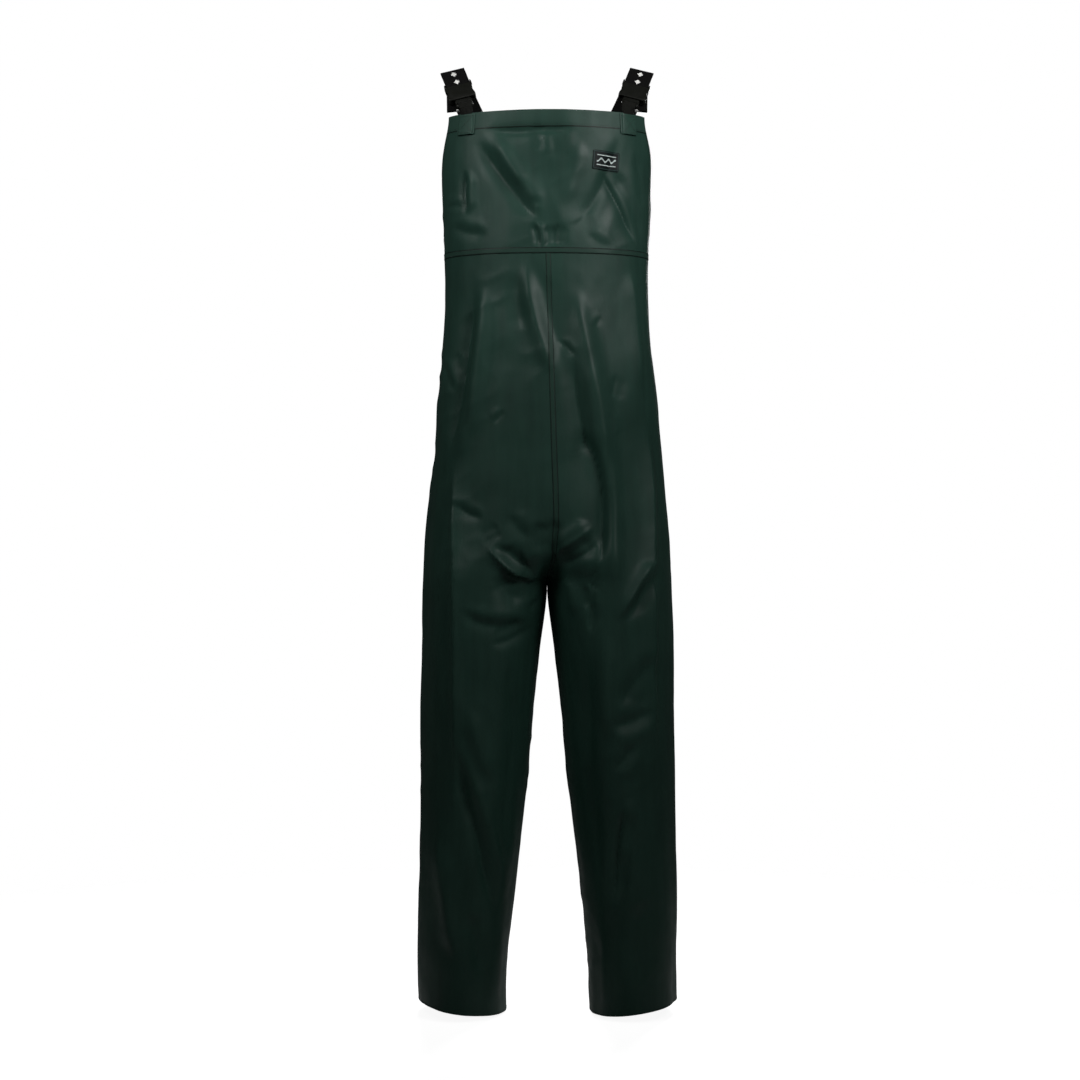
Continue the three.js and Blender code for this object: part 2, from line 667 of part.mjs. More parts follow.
function addBrace(side) {
  const half = halves[side];
  const brace = { width: braceWidth, thickness: braceThickness };
  const tab = { width: tabWidth, thickness: tabThickness };
  const braceBand = bandSolid(braceStations(), brace.width, brace.thickness);
  addMesh(half, `${side}_brace`, braceBand, "webbing");
  const tabBand = bandSolid(tabStations(), tab.width, tab.thickness);
  addMesh(half, `${side}_bib_tab_webbing`, tabBand, "webbing");
  const patchCentre = bibTopHeight - patchInset - patchHeight / 2;
  const patch = patchOver(tab, patchAngle, patchCentre, patchWidth, patchHeight);
  addMesh(half, `${side}_bib_corner_patch`, patch, "cloth");
  const anchorCentre = backTopHeight - patchInset - anchorPatchHeight / 2;
  const middle = onBack(anchorCentre).centre;
  const middleAngle = -Math.acos(middle.x / outerX(anchorCentre)) / degree;
  const anchor = patchOver(brace, middleAngle, anchorCentre, anchorPatchWidth, anchorPatchHeight);
  addMesh(half, `${side}_brace_anchor_patch`, anchor, "cloth");
  const buckle = new THREE.Group();
  buckle.applyMatrix4(buckleMatrix);
  half.add(buckle);
  addMesh(buckle, `${side}_buckle_socket`, socketGeometry(), "plastic");
  addMesh(buckle, `${side}_buckle_plug`, plugGeometry(), "plastic");
  const outerProng = plate(prongOutline, prongThickness, 0.5);
  addMesh(buckle, `${side}_buckle_outer_prong`, outerProng, "plastic");
  const innerProng = plate(mirrored(prongOutline), prongThickness, 0.5);
  addMesh(buckle, `${side}_buckle_inner_prong`, innerProng, "plastic");
  const halfWidth = braceWidth / 2;
  const tail = box(-halfWidth, halfWidth, -tailBelowSlot, tailAboveSlot, braceThickness);
  const tailMesh = addMesh(buckle, `${side}_brace_tail`, tail, "webbing");
  const behindSocket = -(socketThickness + braceThickness) / 2 - layerGap;
  tailMesh.position.set(0, slotStart + slotLength / 2, behindSocket);
  tailMesh.rotation.z = tailLean * degree;
}
addBrace("left");
addBrace("right");

garment.position.z = -shoulderHeight;
const overalls = new THREE.Group();
overalls.add(garment);
export default overalls;
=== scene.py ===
"""Bib-and-brace waterproof overalls: coated cloth, taped seams, elastic braces and side-release buckles.

Lengths are metres. Heights count up from the lowest point of the leg hems; the front faces -Y and +X is
the wearer's left.
"""

import json
import logging
import math
from dataclasses import dataclass, field
from enum import Enum
from typing import Callable, Sequence

import bmesh
import bpy
import numpy as np
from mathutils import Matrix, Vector

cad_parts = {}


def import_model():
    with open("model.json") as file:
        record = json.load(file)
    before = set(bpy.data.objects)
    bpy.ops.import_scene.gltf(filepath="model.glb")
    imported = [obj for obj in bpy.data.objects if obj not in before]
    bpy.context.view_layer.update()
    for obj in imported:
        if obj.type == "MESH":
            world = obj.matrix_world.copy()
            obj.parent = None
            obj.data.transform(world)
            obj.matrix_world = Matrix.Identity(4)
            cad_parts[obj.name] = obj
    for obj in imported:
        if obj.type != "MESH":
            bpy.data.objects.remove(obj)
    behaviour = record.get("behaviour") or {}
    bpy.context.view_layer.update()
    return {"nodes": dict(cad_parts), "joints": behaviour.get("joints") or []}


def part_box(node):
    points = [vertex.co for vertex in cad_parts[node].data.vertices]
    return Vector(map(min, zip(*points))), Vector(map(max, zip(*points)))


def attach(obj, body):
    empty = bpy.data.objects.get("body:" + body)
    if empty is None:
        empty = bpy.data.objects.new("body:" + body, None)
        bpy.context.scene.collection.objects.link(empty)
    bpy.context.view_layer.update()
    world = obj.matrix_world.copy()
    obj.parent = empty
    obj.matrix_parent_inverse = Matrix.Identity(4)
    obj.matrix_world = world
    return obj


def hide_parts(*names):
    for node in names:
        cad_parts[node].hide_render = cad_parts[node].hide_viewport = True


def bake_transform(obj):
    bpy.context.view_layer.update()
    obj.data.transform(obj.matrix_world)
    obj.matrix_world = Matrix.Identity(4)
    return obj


log = logging.getLogger("overalls")

MM = 0.001
Array = np.ndarray
Material = bpy.types.Material
Socket = bpy.types.NodeSocket
Piece = bpy.types.Object
Chart = Callable[[Array, Array], Array]


class Side(Enum):
    """The wearer's side that a piece is on; the value is the sign of its x."""

    LEFT = 1
    RIGHT = -1

    @property
    def word(self) -> str:
        """The side's name as the frame's nodes and bodies spell it."""
        return self.name.lower()


class Face(Enum):
    """Which face of the garment a fold lies on; the value is the sign of its y."""

    FRONT = -1
    BACK = 1


# ---- Numbers ----


def smooth(t: Array) -> Array:
    """Eases from 0 to 1 as t does."""
    t = np.clip(t, 0.0, 1.0)
    return t * t * (3.0 - 2.0 * t)


def unit(v: Array) -> Array:
    """Scales vectors in the last axis to length 1."""
    return v / np.maximum(np.linalg.norm(v, axis=-1, keepdims=True), 1e-12)


def profile(knots: Sequence[tuple[float, float]]) -> Callable[[Array], Array]:
    """A smooth curve through knots that never overshoots between them.

    Args:
        knots: (place, value) pairs in rising order.

    Returns:
        A function of an array of places.
    """
    x, y = np.array(knots, float).T
    step = np.diff(y) / np.diff(x)
    slope = np.zeros(len(x))
    same = step[:-1] * step[1:] > 0
    total = np.where(same, step[:-1] + step[1:], 1.0)
    slope[1:-1] = np.where(same, 2 * step[:-1] * step[1:] / total, 0.0)

    def at(place: Array) -> Array:
        """The curve's value.

        Args:
            place: where along the knots.

        Returns:
            A value for each place.
        """
        p = np.clip(place, x[0], x[-1])
        i = np.clip(np.searchsorted(x, p, side="right") - 1, 0, len(x) - 2)
        span = x[i + 1] - x[i]
        t = (p - x[i]) / span
        bend = t * (1 - t) * span * ((1 - t) * slope[i] - t * slope[i + 1])
        return y[i] + (y[i + 1] - y[i]) * smooth(t) + bend

    return at


def rounded_path(points: Array, count: int) -> Array:
    """Resamples a line of points as a smooth centripetal curve.

    Args:
        points: the line's corners, in any number of dimensions.
        count: how many points to return, evenly spread over the corners.

    Returns:
        The resampled points.
    """
    p = np.asarray(points, float)
    if len(p) < 3:
        t = np.linspace(0, 1, count)[:, None]
        return p[0] * (1 - t) + p[-1] * t
    ext = np.vstack([2 * p[0] - p[1], p, 2 * p[-1] - p[-2]])
    place = np.linspace(0, len(p) - 1 - 1e-9, count)
    i = place.astype(int)
    t = (place - i)[:, None]
    a, b, c, d = ext[i], ext[i + 1], ext[i + 2], ext[i + 3]
    return 0.5 * (2 * b + (c - a) * t + (2 * a - 5 * b + 4 * c - d) * t**2 + (3 * b - a - 3 * c + d) * t**3)


def lattice(i: Array, j: Array, k: Array, seed: int) -> Array:
    """A fixed random number from -1 to 1 at each whole-numbered place.

    Args:
        i, j, k: the places.
        seed: picks the pattern.

    Returns:
        One number for each place.
    """
    h = (i * 374761393 + j * 668265263 + k * 2147483647 + seed * 974634777) & 0xFFFFFFFF
    h = ((h ^ (h >> 13)) * 1274126177) & 0xFFFFFFFF
    return ((h ^ (h >> 16)) & 0xFFFF) / 32767.5 - 1.0


def wander(p: Array, period: tuple[float, float, float], seed: int) -> Array:
    """Smooth random values from about -1 to 1.

    Args:
        p: points in the last axis.
        period: the distance between bumps along x, y and z.
        seed: picks the pattern.

    Returns:
        One value for each point.
    """
    q = p / np.array(period)
    base = np.floor(q).astype(np.int64)
    t = q - base
    t = t * t * t * (t * (t * 6 - 15) + 10)
    total = np.zeros(p.shape[:-1])
    for corner in range(8):
        dx, dy, dz = corner & 1, corner >> 1 & 1, corner >> 2
        share = np.ones(p.shape[:-1])
        for axis, on in enumerate((dx, dy, dz)):
            share = share * (t[..., axis] if on else 1 - t[..., axis])
        total += share * lattice(base[..., 0] + dx, base[..., 1] + dy, base[..., 2] + dz, seed)
    return total


# ---- The garment's form ----


@dataclass
class BodyShape:
    """The filled-out form that the cloth takes, worked out from a few sizes and the frame's heights."""

    hem_z: float
    waist_seam: float
    back_top: float
    bib_top: float
    side_rise: float = 0.032
    crotch: float = 0.664
    split_start: float = 0.930
    split_ease: float = 0.12
    sway_knots: tuple[tuple[float, float], ...] = (
        (0.664, 0.0),
        (0.700, 0.0095),
        (0.760, 0.0135),
        (0.880, 0.0100),
        (1.170, 0.0015),
        (1.250, 0.0),
    )
    sway_reach: float = 0.160
    sway_depth: float = 0.030
    knee: float = 0.402
    hip: float = 0.930
    waist: float = 1.104
    chest_below_top: float = 0.076
    outer_widths: tuple[float, ...] = (0.200, 0.1965, 0.192, 0.172, 0.1575, 0.163, 0.157)
    inner_widths: tuple[float, ...] = (0.064, 0.027, 0.012, 0.0)
    half_depths: tuple[float, ...] = (0.100, 0.103, 0.115, 0.116, 0.106, 0.098)
    thigh_below_crotch: float = 0.106
    corner_angle: float = 16.0
    chest_edge_angle: float = 3.0
    back_corner_angle: float = 64.0
    hem_tilt: float = 0.13
    tilt_reach: float = 0.240

    def __post_init__(self) -> None:
        """Works out the profiles."""
        self.side_top = self.waist_seam + self.side_rise
        chest = self.bib_top - self.chest_below_top
        levels = (0.0, self.knee, self.crotch, self.hip, self.waist, chest, self.bib_top)
        self.outer = profile(list(zip(levels, self.outer_widths)))
        thigh = self.crotch - self.thigh_below_crotch
        self.inner = profile(list(zip((0.0, self.knee, thigh, self.crotch), self.inner_widths)))
        deep = (0.0, self.knee, self.crotch, self.hip, self.waist, self.bib_top)
        self.depth = profile(list(zip(deep, self.half_depths)))
        edges = ((self.side_top, 0.0), (chest, self.chest_edge_angle), (self.bib_top, self.corner_angle))
        self.edge_angle = profile(edges)
        self.sway = profile(self.sway_knots)

    @classmethod
    def from_frame(cls) -> "BodyShape":
        """Reads the levels of the hems, seams and top edges from the frame's nodes.

        Returns:
            The form at those levels.
        """
        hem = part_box("left_front_leg_panel")[0].z
        low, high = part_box("front_bib_panel")
        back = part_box("back_bib_panel")[1].z
        return cls(hem_z=hem, waist_seam=low.z - hem, back_top=back - hem, bib_top=high.z - hem)

    def leg(self, side: Side) -> Chart:
        """The chart of one leg and hip.

        Args:
            side: which leg.

        Returns:
            A function of turn and height. turn is 0 at the front centre line or inseam, 0.5 at the
            side seam and 1 at the back centre line or inseam.
        """

        def at(turn: Array, height: Array) -> Array:
            """Points on the leg.

            Args:
                turn: how far round from the front.
                height: the height above the hem.

            Returns:
                The points.
            """
            outer, inner = self.outer(height), self.inner(height)
            climb = np.clip((height - self.crotch) / (self.split_start - self.crotch), 0, 1)
            ease = self.split_ease
            split = (1 - (np.hypot(climb, ease) - ease) / (math.hypot(1, ease) - ease)) ** 3
            below = height < self.crotch
            centre = np.where(below, (outer + inner) / 2, outer / 2 * split)
            radius = outer - centre
            inseam = np.arccos(np.where(below, -1.0, np.maximum(-1.0, -centre / radius)))
            angle = inseam * (1 - 2 * turn)
            x = centre + radius * np.cos(angle)
            fade = np.clip(1 - height / self.tilt_reach, 0, 1) ** 2
            z = self.hem_z + height + self.hem_tilt * fade * (x - self.inner_widths[0])
            return np.stack([side.value * x, -self.depth(height) * np.sin(angle), z], -1)

        return at

    def swayed(self, p: Array) -> Array:
        """Moves the middle of the front sideways, as the hanging cloth lets its centre seam wander.

        Args:
            p: points on the form.

        Returns:
            The moved points.
        """
        near = np.clip(1 - (p[..., 0] / self.sway_reach) ** 2, 0, 1) ** 2
        near = near * smooth(-p[..., 1] / self.sway_depth)
        moved = p.copy()
        moved[..., 0] += self.sway(p[..., 2] - self.hem_z) * near
        return moved

    def torso(self, angle: Array, height: Array) -> Array:
        """Points round the body above the legs.

        Args:
            angle: degrees from the wearer's left side line, rising towards the front.
            height: the height above the hems.

        Returns:
            The points.
        """
        a = np.radians(angle)
        x, y = self.outer(height) * np.cos(a), -self.depth(height) * np.sin(a)
        return np.stack([x, y, self.hem_z + height + 0 * x], -1)

    def bib(self, u: Array, height: Array) -> Array:
        """The front bib; u runs from -1 at the wearer's right edge to 1 at the left edge."""
        return self.torso(90 - u * (90 - self.edge_angle(height)), height)

    def back_edge(self, u: Array) -> Array:
        """The height of the back bib's top edge; u runs from -1 at the left side line to 1 at the right."""
        share = np.clip((1 - np.abs(u)) * 90 / self.back_corner_angle, 0, 1) ** 2
        return self.side_top + (self.back_top - self.side_top) * share

    def back(self, u: Array, v: Array) -> Array:
        """The back bib; u is as in back_edge and v runs from 0 at the waist seam to 1 at the top edge."""
        height = self.waist_seam + (self.back_edge(u) - self.waist_seam) * v
        return self.torso(-90 - u * 90, height)

    def degrees_for(self, length: float, angle: float, height: float) -> float:
        """How many degrees a length along the bib's surface covers near an angle."""
        ends = self.torso(np.array([angle - 0.5, angle + 0.5]), np.array([height, height]))
        return length / float(np.linalg.norm(ends[1] - ends[0]))


@dataclass(frozen=True)
class Fold:
    """One fold drawn on a face of the garment as a line of (x, height) points, in millimetres.

    sharp runs from a soft roll at 0 to a knife edge at 1, lee sinks the cloth beside the fold, and skew
    makes one flank long and the other steep.
    """

    path: tuple[tuple[float, float], ...]
    width: float
    lift: float
    sharp: float = 0.0
    lee: float = 0.0
    skew: float = 0.0
    face: Face = Face.FRONT


@dataclass
class FoldField:
    """How far the cloth stands off its form at each point: drawn folds and a fixed random drape."""

    hem_z: float
    folds: tuple[Fold, ...]
    crotch: float = 0.664
    fade_in: float = 0.30
    full_length: float = 0.15
    side_band: tuple[float, float] = (-0.030, 0.022)
    still_half: float = 1 * MM
    still_ease: float = 14 * MM
    still_above: float = 0.04
    still_climb: float = 0.05
    strength: float = 2.1
    long_drape: float = 3.5 * MM
    broad_drape: float = 2.0 * MM
    crumple: float = 1.1 * MM
    fine: float = 0.24 * MM
    long_period: tuple[float, float, float] = (0.050, 0.060, 0.42)
    half_period: tuple[float, float, float] = (0.026, 0.030, 0.20)
    broad_period: tuple[float, float, float] = (0.085, 0.10, 0.10)
    crease_period: tuple[float, float, float] = (0.055, 0.06, 0.035)
    crease_slant: float = 0.45
    patch_period: tuple[float, float, float] = (0.12, 0.12, 0.12)
    fine_period: tuple[float, float, float] = (0.016, 0.016, 0.022)

    def offset(self, p: Array) -> Array:
        """How far the cloth stands off at points; it stays still where the two legs face each other.

        Args:
            p: points on the form.

        Returns:
            The outward offset of each.
        """
        height = p[..., 2] - self.hem_z
        total = self.drape(p, height)
        low, high = self.side_band
        front = 1 - smooth((p[..., 1] - low) / (high - low))
        for fold in self.folds:
            mask = front if fold.face is Face.FRONT else 1 - front
            total = total + mask * self.one(fold, p[..., 0], height)
        near = smooth((np.abs(p[..., 0]) - self.still_half) / self.still_ease)
        between = smooth((self.crotch + self.still_above - height) / self.still_climb)
        return total * (1 - between * (1 - near))

    def drape(self, p: Array, height: Array) -> Array:
        """Long soft folds down the legs, broad hollows everywhere and a little crumpling.

        Args:
            p: points on the form.
            height: their heights above the hems.

        Returns:
            The offset of each.
        """
        low = 0.35 + 0.65 * smooth((1.15 - height) / 0.5)
        long = wander(p, self.long_period, 11) + 0.5 * wander(p, self.half_period, 12)
        broad = wander(p, self.broad_period, 13)
        x, y, z = p[..., 0], p[..., 1], p[..., 2]
        slant = np.stack([x + self.crease_slant * z, y, z - self.crease_slant * x], -1)
        crease = np.abs(wander(slant, self.crease_period, 14))
        ridge = 1 - 2 * np.sqrt(crease**2 + 0.003)
        patch = smooth(wander(p, self.patch_period, 15) + 0.35)
        fine = wander(p, self.fine_period, 16)
        return (
            self.long_drape * low * long
            + self.broad_drape * broad
            + self.crumple * ridge * patch
            + self.fine * fine
        )

    def one(self, fold: Fold, x: Array, height: Array) -> Array:
        """The offset that one fold adds.

        Args:
            fold: the fold.
            x: the points' places across.
            height: the points' heights.

        Returns:
            The offset of each point.
        """
        line = rounded_path(np.array(fold.path) / 1000, 4 * len(fold.path) + 3)
        width = fold.width / 1000
        reach = (3.2 + 6 * abs(fold.skew)) * width
        low, high = line.min(0) - reach, line.max(0) + reach
        near = (x > low[0]) & (x < high[0]) & (height > low[1]) & (height < high[1])
        out = np.zeros(x.shape)
        if not near.any():
            return out
        q = np.stack([x[near], height[near]], -1)
        best = np.full(len(q), 1e9)
        signed, along = np.zeros(len(q)), np.zeros(len(q))
        for i in range(len(line) - 1):
            a, d = line[i], line[i + 1] - line[i]
            t = np.clip(((q - a) @ d) / (d @ d), 0, 1)
            away = q - a - t[:, None] * d
            dist = np.linalg.norm(away, axis=1)
            closer = dist < best
            best = np.where(closer, dist, best)
            side = np.sign(d[0] * away[:, 1] - d[1] * away[:, 0])
            signed = np.where(closer, side * dist, signed)
            along = np.where(closer, (i + t) / (len(line) - 1), along)
        length = np.linalg.norm(np.diff(line, axis=0), axis=1).sum()
        lift = fold.lift / 1000 * self.strength * (0.40 + 0.75 * smooth(length / self.full_length))
        taper = smooth(np.minimum(along, 1 - along) / self.fade_in)
        w = width * (0.6 + 0.4 * taper)
        soft = np.exp(-((best / w) ** 2))
        lean = np.where(signed * fold.skew > 0, 1 + 3 * abs(fold.skew), 1 - 0.6 * abs(fold.skew))
        knife = np.exp(-np.abs(best) / (0.55 * w * lean))
        shape = soft * (1 - fold.sharp) + knife * fold.sharp
        beside = np.exp(-(((signed - 1.7 * w) / (1.1 * w)) ** 2))
        out[near] = lift * taper * (shape - fold.lee * beside)
        return out


FRONT_FOLDS: tuple[Fold, ...] = (
    Fold(((-100, 1356), (-50, 1350), (0, 1352), (50, 1354.5)), 9, -2.4, 0.6, 0.0, 0.7),
    # bib: drags from the corners, the sagging hem, puckers over the waist seam
    Fold(((-110, 1345), (-82, 1300), (-41, 1246), (-12, 1212)), 13, -3, 0.3, 0.7),
    Fold(((-80, 1352), (-58, 1305), (-30, 1262)), 10, 1.6, 0.0),
    Fold(((82, 1296), (112, 1243), (141, 1176)), 10, -3.2, 0.9, -0.5, -0.6),
    Fold(((112, 1352), (96, 1300), (70, 1242), (38, 1200)), 12, -2, 0.2, -0.5),
    Fold(((50, 1345), (44, 1290), (22, 1235)), 12, 1.4, 0.0),
    Fold(((-26, 1357), (-1, 1355.5)), 4, -2.2, 0.6),
    Fold(((-20, 1352), (-12, 1335), (-16, 1318)), 8, -1.8, 0.3, 0.5),
    Fold(((4, 1350), (12, 1328), (10, 1306)), 8, -1.2, 0.2, -0.5),
    Fold(((-126, 1300), (-127, 1262), (-124, 1226)), 6, -4, 0.7, 0.6),
    Fold(((-156, 1243), (-140, 1244), (-128, 1238)), 6, -1.8, 0.6, 0.5),
    Fold(((-150, 1215), (-120, 1200), (-88, 1196)), 9, -1.8, 0.3, 0.6),
    Fold(((-16, 1252), (-15, 1236)), 7, -1.6, 0.2),
    Fold(((-22, 1214), (-16, 1193), (-14, 1173)), 5.5, -4.2, 0.4, 0.6),
    Fold(((-2, 1210), (0, 1190), (1, 1172)), 5.5, -3.8, 0.4, -0.6),
    Fold(((18, 1214), (13, 1192), (12, 1172)), 5.5, -3.6, 0.4, -0.6),
    Fold(((60, 1200), (78, 1184), (104, 1176)), 8, -1.4, 0.3, 0.5),
    Fold(((135, 1330), (146, 1285), (149, 1240)), 8, -1.6, 0.3, -0.6),
    # hips and thighs
    Fold(((-32, 1160), (-29, 1108), (-18, 1062), (-3, 1012), (2, 980)), 15, 3.6, 0.2, 0.5),
    Fold(((-50, 1140), (-46, 1090), (-34, 1045)), 15, -1.8, 0.0),
    Fold(((18, 1034), (30, 1022), (43, 1007)), 4.5, -2.6, 0.8, 0.5),
    Fold(((40, 1012), (46, 950), (58, 890), (76, 854)), 12, -3.6, 0.6, 0.3, -0.5),
    Fold(((50, 905), (72, 862), (87, 794), (86, 730), (80, 690)), 12, -6.8, 0.95, 0.0, -0.9),
    Fold(((98, 880), (101, 800), (100, 720), (104, 650)), 12, 2.6, 0.2),
    Fold(((45, 1120), (52, 1060), (66, 985), (80, 912), (86, 836), (90, 760)), 19, 5.6, 0.15),
    Fold(((128, 1150), (131, 1095), (137, 1030), (146, 940)), 14, 3, 0.4),
    Fold(((-108, 1125), (-118, 1060), (-127, 1000), (-140, 915), (-150, 850)), 13, -4.2, 0.5, 0.7),
    Fold(((-92, 1140), (-100, 1060), (-108, 980), (-114, 890)), 14, 2.2, 0.0),
    Fold(((-139, 1020), (-137, 985)), 6, -1.6, 0.5, 0.5),
    Fold(((-162, 1014), (-152, 978), (-143, 955)), 6, -1.8, 0.5, 0.5),
    Fold(((-83, 909), (-74, 917), (-66, 928)), 5, -2, 0.7, 0.7),
    Fold(((71, 1052), (85, 1071)), 5, -1.2, 0.6, 0.6),
    Fold(((106, 985), (101, 960), (97, 945)), 7, -2, 0.5, -0.6),
    Fold(((90, 926), (95, 885)), 7, -1.8, 0.5, 0.6),
    # fold lines where the front of each leg turns to its side
    Fold(((-143, 860), (-141, 760), (-140, 620), (-139, 460), (-143, 300)), 10, 4, 0.8, 0.0, 0.3),
    Fold(((150, 930), (158, 840), (161, 700), (162, 600), (164, 500), (166, 360)), 10, 4, 0.8, 0.0, -0.3),
    # crotch
    Fold(((-90, 722), (-76, 700), (-52, 682), (-26, 676), (-6, 700)), 11, 4.6, 0.5, 0.8),
    Fold(((-98, 722), (-82, 733), (-66, 741)), 7, -2.6, 0.6, -0.7),
    Fold(((-78, 676), (-60, 650), (-30, 640)), 15, -4, 0.2),
    Fold(((-26, 622), (-18, 632), (-12, 642)), 6, -2.4, 0.5, 0.6),
    Fold(((10, 712), (30, 722), (54, 738), (72, 752)), 8, 3.4, 0.4, -0.8),
    Fold(((14, 692), (36, 698), (62, 712), (80, 730)), 8, -3.6, 0.4, -0.6),
    Fold(((-6, 760), (-12, 735), (-10, 705)), 12, -3.6, 0.2),
    Fold(((8, 765), (10, 735), (6, 705)), 10, -3.4, 0.2),
    Fold(((-60, 770), (-46, 748), (-24, 728)), 10, -2.2, 0.3, 0.6),
    Fold(((58, 662), (58, 625)), 7, -3, 0.5, 0.7),
    Fold(((26, 680), (36, 650), (40, 610)), 10, 2.6, 0.3, 0.6),
    Fold(((-94, 716), (-70, 690), (-48, 672), (-20, 690)), 9, -4.2, 0.9, 0.0, -0.7),
    Fold(((-150, 790), (-120, 768), (-96, 764)), 8, -2.6, 0.7, 0.4, 0.4),
    Fold(((70, 700), (66, 640), (64, 580)), 10, -3.4, 0.8, 0.0, 0.7),
    # knees and shins
    Fold(((-136, 626), (-108, 606), (-82, 600), (-52, 600), (-26, 606)), 10, -1.9, 0.3, 0.7),
    Fold(((-90, 573), (-64, 576), (-40, 586), (-20, 600)), 9, -3.2, 0.4, -0.7),
    Fold(((158, 700), (146, 678), (128, 646), (106, 606)), 10, 4.4, 0.4, 0.7),
    Fold(((170, 560), (150, 530), (124, 500), (112, 470)), 14, -2.6, 0.2, -0.6),
    Fold(((164, 472), (130, 455), (94, 446)), 13, -3, 0.3, 0.6),
    Fold(((134, 420), (118, 398), (100, 376)), 9, -2.4, 0.4, 0.7),
    Fold(((120, 330), (112, 296), (104, 250), (100, 205), (92, 170)), 8, -4.4, 0.7, -0.7),
    Fold(((128, 345), (122, 285), (114, 230)), 12, 2.4, 0.1),
    Fold(((62, 560), (60, 460), (66, 340), (78, 200)), 16, -3.2, 0.2),
    Fold(((88, 600), (90, 500), (92, 420)), 14, 2.4, 0.1),
    Fold(((-142, 430), (-126, 350), (-108, 290), (-90, 215), (-80, 150)), 11, -4.4, 0.5, 0.7),
    Fold(((-165, 300), (-160, 220), (-148, 140), (-138, 90)), 14, 4, 0.2),
    Fold(((-118, 480), (-104, 420), (-86, 360)), 13, 2.6, 0.1),
    Fold(((-60, 540), (-50, 440), (-60, 330), (-70, 220)), 15, -2.6, 0.1),
    Fold(((-120, 170), (-105, 120), (-100, 60)), 14, -2.8, 0.2),
    Fold(((150, 190), (140, 120), (138, 50)), 16, -2.2, 0.1),
)

BACK_SHARE = 0.8  # the folds behind are this much flatter than they are drawn below
BACK_FOLDS: tuple[Fold, ...] = tuple(
    Fold(path, width, BACK_SHARE * lift, sharp, lee, face=Face.BACK)
    for path, width, lift, sharp, lee in (
        (((-48, 1222), (-36, 1196), (-30, 1172)), 9, -2, 0.3, 0.6),
        (((50, 1224), (40, 1198), (34, 1172)), 9, -2.2, 0.3, -0.6),
        (((-90, 1200), (-40, 1190), (30, 1194), (84, 1186)), 11, -1.6, 0.2, 0.6),
        (((-70, 1150), (-64, 1080), (-50, 1000), (-20, 940)), 16, -3.6, 0.3, 0.6),
        (((74, 1150), (66, 1070), (46, 990), (16, 930)), 16, -3.6, 0.3, -0.6),
        (((-120, 1120), (-128, 1040), (-130, 950)), 14, 2.6, 0.2, 0.3),
        (((118, 1110), (128, 1020), (134, 930)), 14, 2.8, 0.2, 0.3),
        (((-140, 860), (-100, 820), (-56, 800), (-14, 806)), 13, -4.6, 0.4, 0.7),
        (((144, 866), (104, 826), (60, 804), (16, 810)), 13, -4.4, 0.4, -0.7),
        (((-130, 800), (-86, 764), (-40, 742)), 12, -3.4, 0.3, 0.7),
        (((126, 806), (84, 762), (36, 736)), 12, -3.4, 0.3, -0.7),
        (((-150, 720), (-90, 690), (-40, 684)), 12, -3, 0.3, 0.6),
        (((150, 712), (96, 684), (44, 676)), 12, -3, 0.3, -0.6),
        (((-155, 450), (-110, 428), (-60, 436)), 11, -3.6, 0.4, 0.7),
        (((-150, 408), (-104, 396), (-58, 384)), 11, -3.2, 0.4, 0.7),
        (((154, 446), (108, 434), (58, 424)), 11, -3.6, 0.4, 0.7),
        (((150, 398), (112, 386), (64, 394)), 11, -3, 0.4, 0.7),
        (((-130, 360), (-120, 240), (-130, 110)), 17, -3, 0.1, 0.0),
        (((-80, 620), (-86, 520), (-78, 460)), 15, 3.2, 0.1, 0.0),
        (((132, 350), (118, 230), (124, 100)), 17, -3.2, 0.1, 0.0),
        (((82, 630), (92, 520), (86, 460)), 15, 3.2, 0.1, 0.0),
        (((-90, 340), (-84, 200), (-92, 80)), 15, 3, 0.1, 0.0),
        (((92, 330), (86, 190), (94, 70)), 15, 2.8, 0.1, 0.0),
    )
)


# ---- Finishes ----


